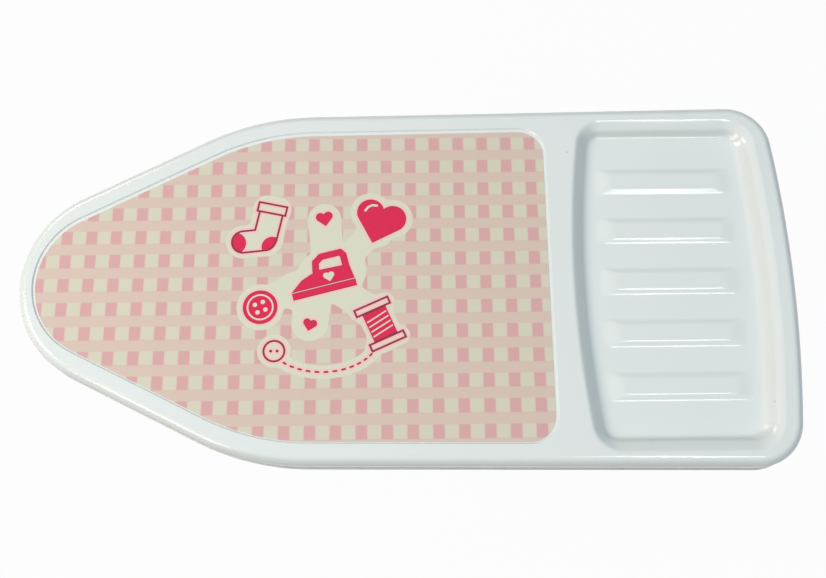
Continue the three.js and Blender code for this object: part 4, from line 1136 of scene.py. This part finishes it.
def hinge_bracket(place):
    """A bracket from its base, two ears, the pin's hole and the screws' holes."""
    low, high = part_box("hinge_bracket_" + place)
    under = BOSS_FACE - BRACKET_BASE_THICKNESS
    bracket = box_solid("bracket", (low.x, low.y, under), (high.x, high.y, BOSS_FACE))
    for ear in (low.y, high.y - BRACKET_WALL):
        combine(bracket, slab("ear", bracket_ear(), ear, ear + BRACKET_WALL), "UNION")
    hole = rod_profile(PIN_HOLE_RADIUS, low.y - OVERRUN, high.y + OVERRUN)
    combine(bracket, turned("hole", hole, along_y(*HINGE)), "DIFFERENCE")
    for x, y in bosses_over(low, high):
        combine(bracket, round_solid("hole", x, y, low.z, TOP, SCREW_HOLE_RADIUS), "DIFFERENCE")
    name = "hinge_bracket_" + place
    dress(bracket, "bracket_" + place, "board", name, WHITE_NYLON, BRACKET_SOFTENING)


for place, side in SIDES:
    hinge_bracket(place)

# Hinge pins: zinc-plated steel pins with low domed heads. Each goes through a bracket's two ears and the outer
# leg's tube between them, and its plain end is peened over.
PIN_RADIUS = 1.8 * MM
PIN_END_CUT = 0.4 * MM
PIN_END_ROUNDING = 0.3 * MM
PIN_STEPS = 32
HEAD_RADIUS = 3.4 * MM
HEAD_HEIGHT = 1.5 * MM
HEAD_SHARES = ((1.0, 0.0), (1.0, 0.25), (0.95, 0.55), (0.78, 0.82), (0.5, 0.95), (0.2, 1.0), (0.0, 1.0))


def domed_head(start, finish):
    """The profile of a low domed head, from its flat face out to its middle."""
    return [(HEAD_RADIUS * wide, start + (finish - start) * out) for wide, out in HEAD_SHARES]


for place, side in SIDES:
    low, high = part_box("hinge_pin_back")
    head_face = high.y - HEAD_HEIGHT
    shank = [(0.0, low.y), (PIN_RADIUS - PIN_END_CUT, low.y), (PIN_RADIUS, low.y + PIN_END_ROUNDING)]
    profile = shank + [(PIN_RADIUS, head_face)] + domed_head(head_face, high.y)
    pin = turned("pin", profile, along_y(*HINGE, side), steps=PIN_STEPS)
    dress(pin, "pin_" + place, "board", "hinge_pin_" + place, BARE_STEEL)

# Slide rails: two nylon plates standing under the board, each with a long slot for the inner leg's bar. Notches
# over the slot hold the bar at lower heights, and two feet take the screws.
RAIL_THICKNESS = 4 * MM
SLOT_HALF_HEIGHT = 3.8 * MM
SLOT_RIM = 1.6 * MM
SLOT_RIM_RISE = 0.7 * MM
SLOT_END_STEPS = 16
DETENT_DEPTH = 1.2 * MM
DETENT_PITCH = 17 * MM
DETENT_COUNT = 3
DETENT_STEPS = 8
RAIL_FLANGE_LENGTH = 14 * MM
RAIL_FLANGE_THICKNESS = 3 * MM
RAIL_SOFTENING = 0.35 * MM
RAIL_Y = 29 * MM
RAIL_REST_GAP = 0.3 * MM
RAIL_STEP_GAP = 2 * MM
RAIL_LOW_TOP = TOP - REST_DEPTH - SHELL_WALL - RAIL_REST_GAP
RAIL_STEP_X = REST_NOSE_X - REST_LIP_RADIUS - SHELL_WALL - RAIL_STEP_GAP
slide_low, slide_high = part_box("slide_bar")
SLIDE_OPEN_X = (slide_low.x + slide_high.x) / 2
SLIDE_FOLDED_X = 189 * MM


def slot_outline(growth):
    """The slot with its notches, grown by a margin."""
    radius = SLOT_HALF_HEIGHT + growth
    top = HINGE[1] + radius
    turn = math.acos(1 - DETENT_DEPTH / radius)
    points = arc(SLIDE_OPEN_X, HINGE[1], radius, 1.5 * math.pi, 0.5 * math.pi, SLOT_END_STEPS)
    for detent in range(1, DETENT_COUNT + 1):
        x = SLIDE_OPEN_X + detent * DETENT_PITCH
        z = top + DETENT_DEPTH - radius
        points += arc(x, z, radius, math.pi / 2 + turn, math.pi / 2 - turn, DETENT_STEPS)
    return points + arc(SLIDE_FOLDED_X, HINGE[1], radius, 0.5 * math.pi, -0.5 * math.pi, SLOT_END_STEPS)


def slide_rail(place, side):
    """A rail from its plate, the slot's raised rim, the slot, and the feet that the screws hold."""
    low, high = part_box("slide_rail_" + place)
    high_end = RAIL_STEP_X - BOSS_FACE + RAIL_LOW_TOP
    near = side * RAIL_Y - RAIL_THICKNESS / 2
    far = near + RAIL_THICKNESS
    rail = slab("rail", [
        (low.x, low.z), (high.x, low.z), (high.x, RAIL_LOW_TOP), (RAIL_STEP_X, RAIL_LOW_TOP),
        (high_end, BOSS_FACE), (low.x, BOSS_FACE),
    ], near, far)
    rim = slab("rim", slot_outline(SLOT_RIM), near - SLOT_RIM_RISE, far + SLOT_RIM_RISE)
    combine(rail, rim, "UNION")
    combine(rail, slab("slot", slot_outline(0.0), near - OVERRUN, far + OVERRUN), "DIFFERENCE")
    for x, y in bosses_over(low, high):
        reach = RAIL_FLANGE_LENGTH / 2
        inner, outer = sorted((side * RAIL_Y, y - side * reach))
        under = BOSS_FACE - RAIL_FLANGE_THICKNESS
        foot = box_solid("foot", (x - reach, inner, under), (x + reach, outer, BOSS_FACE))
        combine(rail, foot, "UNION")
        combine(rail, round_solid("hole", x, y, low.z, TOP, SCREW_HOLE_RADIUS), "DIFFERENCE")
    dress(rail, "rail_" + place, "board", "slide_rail_" + place, WHITE_NYLON, RAIL_SOFTENING)


for place, side in SIDES:
    slide_rail(place, side)

# Screws: zinc-plated steel screws with low heads and cross recesses. They hold the brackets and the rails, and are
# driven up into the shell's bosses from below.
SCREW_HEAD_RADIUS = 2.9 * MM
SCREW_HEAD_HEIGHT = 1.6 * MM
SCREW_RADIUS = 1.4 * MM
CROSS_LENGTH = 3.0 * MM
CROSS_WIDTH = 0.7 * MM
CROSS_DEPTH = 0.9 * MM
CROSS_TURN = 0.6
SCREW_TIP_RADIUS = 0.4 * MM
SCREW_TIP_LENGTH = 0.6 * MM

for node in SCREW_NODES:
    low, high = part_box(node)
    x, y = node_middle(node)
    head_face = low.z + SCREW_HEAD_HEIGHT
    head = [(SCREW_HEAD_RADIUS * wide, head_face + (low.z - head_face) * out) for wide, out in HEAD_SHARES[::-1]]
    shank = [(SCREW_RADIUS, head_face), (SCREW_RADIUS, high.z - SCREW_TIP_LENGTH)]
    tip = [(SCREW_TIP_RADIUS, high.z), (0.0, high.z)]
    upright = Matrix.Translation((x, y, 0.0)) @ Matrix.Rotation(-math.pi / 2, 4, "Y")
    screw = turned("screw", head + shank + tip, upright, steps=PIN_STEPS)
    for turn in (CROSS_TURN, CROSS_TURN + math.pi / 2):
        corner = Vector((CROSS_LENGTH / 2, CROSS_WIDTH / 2, CROSS_DEPTH))
        arm = box_solid("cross", -corner, corner)
        arm.data.transform(Matrix.Translation((x, y, low.z)) @ Matrix.Rotation(turn, 4, "Z"))
        combine(screw, arm, "DIFFERENCE")
    dress(screw, node.replace("_screw", "_fixing"), "board", node, BARE_STEEL)

# Leg clip: a springy clip moulded in nylon, fixed under the iron rest. Its lips snap over the outer leg's foot bar
# when the legs are folded.
CLIP_WALL = 1.8 * MM
CLIP_BUMP = 0.6 * MM
CLIP_LIP_SHARE = 0.7
CLIP_CORNER_RADIUS = 1.5 * MM
CLIP_CORNER_STEPS = 6
CLIP_SOFTENING = 0.3 * MM
# The heights over the clip's foot where the lip's bump starts, stops, and has gone back to the wall
CLIP_BUMP_HEIGHTS = (1.6 * MM, 2.0 * MM, 3.4 * MM)


def leg_clip():
    """The clip's section with its two lips, drawn out along Y."""
    low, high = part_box("leg_clip")
    middle = (low.x + high.x) / 2
    half = (high.x - low.x) / 2 - CLIP_WALL
    corner = (middle + half - CLIP_CORNER_RADIUS, HINGE[1] + half - CLIP_CORNER_RADIUS)
    right = [(high.x, high.z), (high.x, low.z), (high.x - CLIP_LIP_SHARE * CLIP_WALL, low.z)]
    for inwards, height in zip((CLIP_BUMP, CLIP_BUMP, 0.0), CLIP_BUMP_HEIGHTS):
        right.append((middle + half - inwards, low.z + height))
    right += arc(*corner, CLIP_CORNER_RADIUS, 0.0, math.pi / 2, CLIP_CORNER_STEPS)
    outline = right + [(2 * middle - x, z) for x, z in reversed(right)]
    clip = slab("clip", outline, low.y, high.y)
    dress(clip, "clip", "board", "leg_clip", WHITE_NYLON, CLIP_SOFTENING)


leg_clip()

# Leg tubes: steel tubes painted white. Each is notched over its foot bar and welded to it, and drilled for its
# pins. The outer leg turns on the hinge pins, and the inner leg turns on the rivets where the legs cross.
TUBE_RADIUS = 4 * MM
TUBE_WALL = 0.8 * MM
TUBE_END_OVERRUN = 4.5 * MM
OUTER_TUBE_Y = 57.5 * MM
INNER_TUBE_Y = 44.5 * MM
FOOT_BAR_RADIUS = 4.5 * MM
FOOT_BAR_WALL = 0.9 * MM
LEG_REACH = 347 * MM
UPPER_ARM = 165 * MM
LOWER_ARM = 182 * MM
STANDING_ANGLE = math.radians(56.81)
SLIDE_BAR_RADIUS = 2.3 * MM
FIT_GAP = 0.3 * MM
TUBE_STEPS = 48
WELD_RADIUS = 0.85 * MM
WELD_LIFT = 0.1 * MM
WELD_CORNER_LIFT = 0.15 * MM
WELD_STEPS = 56
WELD_SHARP_DEGREES = 60
# The weld bead's ripples: how much each swells it, and its pace along the bead
WELD_RIPPLES = ((0.13, 1.9), (0.05, 0.7))
PAINT_SHADES = ((0.76, 0.77, 0.76, 1.0), (0.81, 0.82, 0.81, 1.0))
PAINT_RUBBED = (0.58, 0.58, 0.57, 1.0)
PAINT_SPECK_SHADE = (0.35, 0.34, 0.33, 1.0)
OUTER_LEG = Matrix.Translation((HINGE[0], 0.0, HINGE[1])) @ Matrix.Rotation(STANDING_ANGLE, 4, "Y")
crossing = OUTER_LEG @ Vector((UPPER_ARM, 0.0, 0.0))
INNER_LEG = Matrix.Translation(crossing) @ Matrix.Rotation(-STANDING_ANGLE, 4, "Y")


def leg_paint():
    """White powder coat with a fine orange peel, rubbed thin in places."""
    material, tree = new_material("leg_paint")
    place = tree.nodes.new("ShaderNodeTexCoord").outputs["Object"]
    clouds = add_noise(tree, place, 40.0, 3.0)
    rubs = add_effect(tree, RUB_MARKS, place, Scale=38.0, Threshold=0.58)
    specks = add_effect(tree, DUST_SPECKS, place, Scale=260.0, Radius=0.07, Share=0.08)
    colour = add_tint(tree, rubs, 0.30, add_mix(tree, clouds, *PAINT_SHADES), PAINT_RUBBED)
    colour = add_tint(tree, specks, 0.6, colour, PAINT_SPECK_SHADE)
    roughness = add_math(tree, "MULTIPLY_ADD", rubs, 0.20, 0.26)
    peel = add_effect(tree, SURFACE_RIPPLE, place, Scale=480.0, Fine=0.2)
    add_surface(material, colour, roughness, add_bump(tree, peel, 0.06, 0.0001), IOR=1.5)
    return material


LEG_PAINT = leg_paint()


def tube_profile(radius, wall, low, high):
    """The profile of a tube between two reaches."""
    return [(radius, low), (radius, high), (radius - wall, high), (radius - wall, low)]


def weld_bead(name, points, leg, body):
    """A rippled weld bead that follows a closed line, painted over with its tube."""
    curve = bpy.data.curves.new(name, "CURVE")
    curve.dimensions = "3D"
    curve.bevel_depth = WELD_RADIUS
    curve.bevel_resolution = 3
    spline = curve.splines.new("POLY")
    spline.points.add(len(points) - 1)
    spline.use_cyclic_u = True
    for step, (point, target) in enumerate(zip(points, spline.points)):
        target.co = (*(leg @ Vector(point)), 1.0)
        target.radius = 1.0 + sum(swell * math.sin(step * pace) for swell, pace in WELD_RIPPLES)
    line = add_object(name, curve)
    bpy.context.view_layer.update()
    mesh = bpy.data.meshes.new_from_object(line.evaluated_get(bpy.context.evaluated_depsgraph_get()))
    bpy.data.objects.remove(line)
    bpy.data.curves.remove(curve)
    dress(add_object(name, mesh), name, body, None, LEG_PAINT, sharp=WELD_SHARP_DEGREES)


def saddle(radius, bar_radius, steps):
    """Round a tube that ends on a bar: how far to the side, how high, and how far from the bar's middle."""
    points = []
    for turn in [2 * math.pi * step / steps for step in range(steps)]:
        aside, up = (radius + WELD_LIFT) * math.cos(turn), (radius + WELD_LIFT) * math.sin(turn)
        points.append((aside, up, math.sqrt((bar_radius + WELD_CORNER_LIFT) ** 2 - up**2)))
    return points


FOOT_SADDLE = saddle(TUBE_RADIUS, FOOT_BAR_RADIUS, WELD_STEPS)


def leg_side(place, body, leg, y, open_end, foot_x, holes):
    """A tube from its open end to its foot, its notch and holes cut across it, and the weld round the notch."""
    profile = tube_profile(TUBE_RADIUS, TUBE_WALL, *sorted((open_end, foot_x)))
    tube = turned("tube", profile, Matrix.Translation((0.0, y, 0.0)), closed=True, steps=TUBE_STEPS)
    reach = TUBE_RADIUS + OVERRUN
    for x, radius in ((foot_x, FOOT_BAR_RADIUS), *holes):
        cutter = turned("cutter", rod_profile(radius + FIT_GAP, y - reach, y + reach), along_y(x, 0.0))
        combine(tube, cutter, "DIFFERENCE")
    tube.data.transform(leg)
    dress(tube, body + "_tube_" + place, body + "_leg", body + "_leg_tube_" + place, LEG_PAINT)
    upwards = math.copysign(1, open_end - foot_x)
    line = [(foot_x + upwards * away, y + aside, up) for aside, up, away in FOOT_SADDLE]
    weld_bead(body + "_weld_" + place, line, leg, body + "_leg")


for place, side in SIDES:
    holes = ((0.0, PIN_RADIUS), (UPPER_ARM, PIN_RADIUS))
    leg_side(place, "outer", OUTER_LEG, side * OUTER_TUBE_Y, -TUBE_END_OVERRUN, LEG_REACH, holes)
    holes = ((0.0, PIN_RADIUS), (UPPER_ARM, SLIDE_BAR_RADIUS))
    leg_side(place, "inner", INNER_LEG, side * INNER_TUBE_Y, UPPER_ARM + TUBE_END_OVERRUN, -LOWER_ARM, holes)

# Foot bars: straight steel tubes across the feet of each leg, welded to the leg's tubes and painted with them.
# Their open ends carry the caps.
for body, foot_x, leg in (("outer", LEG_REACH, OUTER_LEG), ("inner", -LOWER_ARM, INNER_LEG)):
    low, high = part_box(body + "_foot_bar")
    profile = tube_profile(FOOT_BAR_RADIUS, FOOT_BAR_WALL, low.y, high.y)
    bar = turned("bar", profile, leg @ along_y(foot_x, 0.0), closed=True, steps=TUBE_STEPS)
    dress(bar, body + "_bar", body + "_leg", body + "_foot_bar", LEG_PAINT)

# Foot caps: caps moulded in pink plastic with grip rings, and pushed over the ends of the foot bars. Each stands
# on the floor on a narrow flat.
CAP_RADIUS = 5.6 * MM
CAP_END_ROUNDING = 1.6 * MM
CAP_END_STEPS = 8
CAP_MOUTH_CHAMFER = 0.3 * MM
CAP_FIRST_RING = 3.0 * MM
CAP_RING_COUNT = 4
CAP_RING_PITCH = 2.2 * MM
# Along a ring's groove: how far along its corners lie, and whether they are at its bottom
CAP_GROOVE = ((0.0, 0), (0.25 * MM, 1), (0.75 * MM, 1), (1.0 * MM, 0))
CAP_RING_DEPTH = 0.32 * MM
CAP_STEPS = 56
CAP_FLAT_HEIGHT = 0.02 * MM
PINK_SHADES = ((0.73, 0.27, 0.38, 1.0), (0.79, 0.32, 0.43, 1.0))
PINK_RUBBED = (0.60, 0.30, 0.36, 1.0)


def soft_pink():
    """Satin pink plastic with a fine moulded grain, duller where it is rubbed."""
    material, tree = new_material("pink_plastic")
    place = tree.nodes.new("ShaderNodeTexCoord").outputs["Object"]
    clouds = add_noise(tree, place, 60.0, 3.0)
    rubs = add_effect(tree, RUB_MARKS, place, Scale=90.0, Threshold=0.5)
    colour = add_tint(tree, rubs, 0.3, add_mix(tree, clouds, *PINK_SHADES), PINK_RUBBED)
    roughness = add_math(tree, "MULTIPLY_ADD", rubs, 0.2, 0.34)
    grain = add_effect(tree, SURFACE_RIPPLE, place, Scale=700.0, Fine=0.5)
    add_surface(material, colour, roughness, add_bump(tree, grain, 0.14, 0.00008), IOR=1.5)
    return material


PINK_PLASTIC = soft_pink()


def foot_cap(place, side, foot_x, leg, body):
    """A turned cap in the standing leg's place, cut flat where it stands on the floor."""
    low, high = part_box(body + "_foot_cap_back")
    bore = FOOT_BAR_RADIUS + FIT_GAP
    floor_of_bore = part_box(body + "_foot_bar")[1].y + FIT_GAP
    profile = [(0.0, floor_of_bore), (bore, floor_of_bore), (bore, low.y)]
    profile += [(CAP_RADIUS - CAP_MOUTH_CHAMFER, low.y), (CAP_RADIUS, low.y + CAP_MOUTH_CHAMFER)]
    for ring in range(CAP_RING_COUNT):
        reach = low.y + CAP_FIRST_RING + ring * CAP_RING_PITCH
        profile += [(CAP_RADIUS - bottom * CAP_RING_DEPTH, reach + along) for along, bottom in CAP_GROOVE]
    rounding = quarter_round(CAP_END_ROUNDING, CAP_END_STEPS)
    profile += [(CAP_RADIUS - inset, high.y - back) for inset, back in rounding]
    cap = turned("cap", profile + [(0.0, high.y)], leg @ along_y(foot_x, 0.0, side), steps=CAP_STEPS)
    bm = bmesh.new()
    bm.from_mesh(cap.data)
    everything = bm.verts[:] + bm.edges[:] + bm.faces[:]
    foot = (0.0, 0.0, CAP_FLAT_HEIGHT)
    bmesh.ops.bisect_plane(bm, geom=everything, plane_co=foot, plane_no=(0.0, 0.0, 1.0), clear_inner=True)
    bmesh.ops.holes_fill(bm, edges=[edge for edge in bm.edges if edge.is_boundary])
    bmesh.ops.recalc_face_normals(bm, faces=bm.faces)
    bm.to_mesh(cap.data)
    bm.free()
    name, node = body + "_cap_" + place, body + "_foot_cap_" + place
    dress(cap, name, body + "_leg", node, PINK_PLASTIC)


for place, side in SIDES:
    foot_cap(place, side, LEG_REACH, OUTER_LEG, "outer")
    foot_cap(place, side, -LOWER_ARM, INNER_LEG, "inner")

# Tube plugs: small domed plugs moulded in the same pink plastic, each pressed by its stub into the open upper end
# of a leg tube. Their profile is in radii and reaches in millimetres, from the stub to the middle of the dome.
PLUG_POINTS = (
    (0.0, -1.6), (2.7, -1.6), (2.9, -1.4), (2.9, 0.3), (4.0, 0.3), (4.0, 0.65),
    (3.88, 1.0), (3.5, 1.32), (2.9, 1.54), (2.0, 1.7), (1.0, 1.78), (0.0, 1.8),
)
PLUG_PROFILE = [(radius * MM, reach * MM) for radius, reach in PLUG_POINTS]
turned_back = Matrix.Rotation(math.pi, 4, "Z")
for place, side in SIDES:
    outer_end = Matrix.Translation((-TUBE_END_OVERRUN, side * OUTER_TUBE_Y, 0.0)) @ turned_back
    inner_end = Matrix.Translation((UPPER_ARM + TUBE_END_OVERRUN, side * INNER_TUBE_Y, 0.0))
    for body, matrix in (("outer", OUTER_LEG @ outer_end), ("inner", INNER_LEG @ inner_end)):
        plug = turned("plug", PLUG_PROFILE, matrix)
        name, node = body + "_plug_" + place, body + "_tube_plug_" + place
        dress(plug, name, body + "_leg", node, PINK_PLASTIC)

# Pivot rivets and washers: zinc-plated steel rivets with a head at both ends join the legs where they cross. A
# nylon washer on each keeps the tubes apart.
WASHER_RADIUS = 4.4 * MM
WASHER_CHAMFER = 0.3 * MM


def chamfered_profile(bore, radius, low, high, chamfer):
    """The profile of a rod, or with a bore a ring, with its ends' edges broken."""
    return [(bore, low), (radius - chamfer, low), (radius, low + chamfer),
            (radius, high - chamfer), (radius - chamfer, high), (bore, high)]


for place, side in SIDES:
    at_pivot = OUTER_LEG @ along_y(UPPER_ARM, 0.0, side)
    low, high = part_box("pivot_rivet_back")
    inner_face, outer_face = low.y + HEAD_HEIGHT, high.y - HEAD_HEIGHT
    profile = domed_head(inner_face, low.y)[::-1] + [(PIN_RADIUS, inner_face), (PIN_RADIUS, outer_face)]
    rivet = turned("rivet", profile + domed_head(outer_face, high.y), at_pivot, steps=PIN_STEPS)
    dress(rivet, "rivet_" + place, "outer_leg", "pivot_rivet_" + place, BARE_STEEL)
    low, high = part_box("pivot_washer_back")
    profile = chamfered_profile(PIN_RADIUS + FIT_GAP, WASHER_RADIUS, low.y, high.y, WASHER_CHAMFER)
    washer = turned("washer", profile, at_pivot, closed=True)
    dress(washer, "washer_" + place, "outer_leg", "pivot_washer_" + place, WHITE_NYLON)

# Slide bar and sleeves: a zinc-plated steel rod through the tops of the inner leg's tubes. The sleeves on it are
# moulded in pink plastic and run in the rails' slots.
SLIDE_BAR_CHAMFER = 0.4 * MM
SLIDE_BAR_STEPS = 36
SLEEVE_RADIUS = 3.5 * MM
# A sleeve's rounded end: how far in from its outside, and how far from its end
SLEEVE_END = ((0.35 * MM, 0.0), (0.1 * MM, 0.12 * MM), (0.0, 0.35 * MM))

low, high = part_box("slide_bar")
profile = chamfered_profile(0.0, SLIDE_BAR_RADIUS, low.y, high.y, SLIDE_BAR_CHAMFER)
rod = turned("rod", profile, INNER_LEG @ along_y(UPPER_ARM, 0.0), steps=SLIDE_BAR_STEPS)
dress(rod, "top_rod", "inner_leg", "slide_bar", BARE_STEEL)
for place, side in SIDES:
    low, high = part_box("slide_sleeve_back")
    bore = SLIDE_BAR_RADIUS + FIT_GAP
    near = [(SLEEVE_RADIUS - inwards, low.y + along) for inwards, along in SLEEVE_END]
    far = [(SLEEVE_RADIUS - inwards, high.y - along) for inwards, along in SLEEVE_END[::-1]]
    profile = [(bore, low.y)] + near + far + [(bore, high.y)]
    sleeve = turned("sleeve", profile, INNER_LEG @ along_y(UPPER_ARM, 0.0, side), closed=True)
    dress(sleeve, "sleeve_" + place, "inner_leg", "slide_sleeve_" + place, PINK_PLASTIC)

# Brace: a thinner steel tube between the inner leg's tubes. Its ends are notched to fit round them and welded, and
# it is painted with the leg.
BRACE_RADIUS = 3.2 * MM
BRACE_WALL = 0.7 * MM
BRACE_X = -100 * MM
BRACE_WELD_STEPS = 48


def leg_brace():
    """The brace with its ends notched round the leg's tubes, and its two welds."""
    profile = tube_profile(BRACE_RADIUS, BRACE_WALL, -INNER_TUBE_Y, INNER_TUBE_Y)
    brace = turned("brace", profile, along_y(BRACE_X, 0.0), closed=True)
    reach = BRACE_RADIUS + OVERRUN
    notch = rod_profile(TUBE_RADIUS + FIT_GAP, BRACE_X - reach, BRACE_X + reach)
    for place, side in SIDES:
        cutter = turned("notch", notch, Matrix.Translation((0.0, side * INNER_TUBE_Y, 0.0)))
        combine(brace, cutter, "DIFFERENCE")
        line = [(BRACE_X + aside, side * (INNER_TUBE_Y - away), up)
                for aside, up, away in saddle(BRACE_RADIUS, TUBE_RADIUS, BRACE_WELD_STEPS)]
        weld_bead("brace_weld_" + place, line, INNER_LEG, "inner_leg")
    brace.data.transform(INNER_LEG)
    dress(brace, "brace", "inner_leg", "inner_leg_brace", LEG_PAINT)


leg_brace()
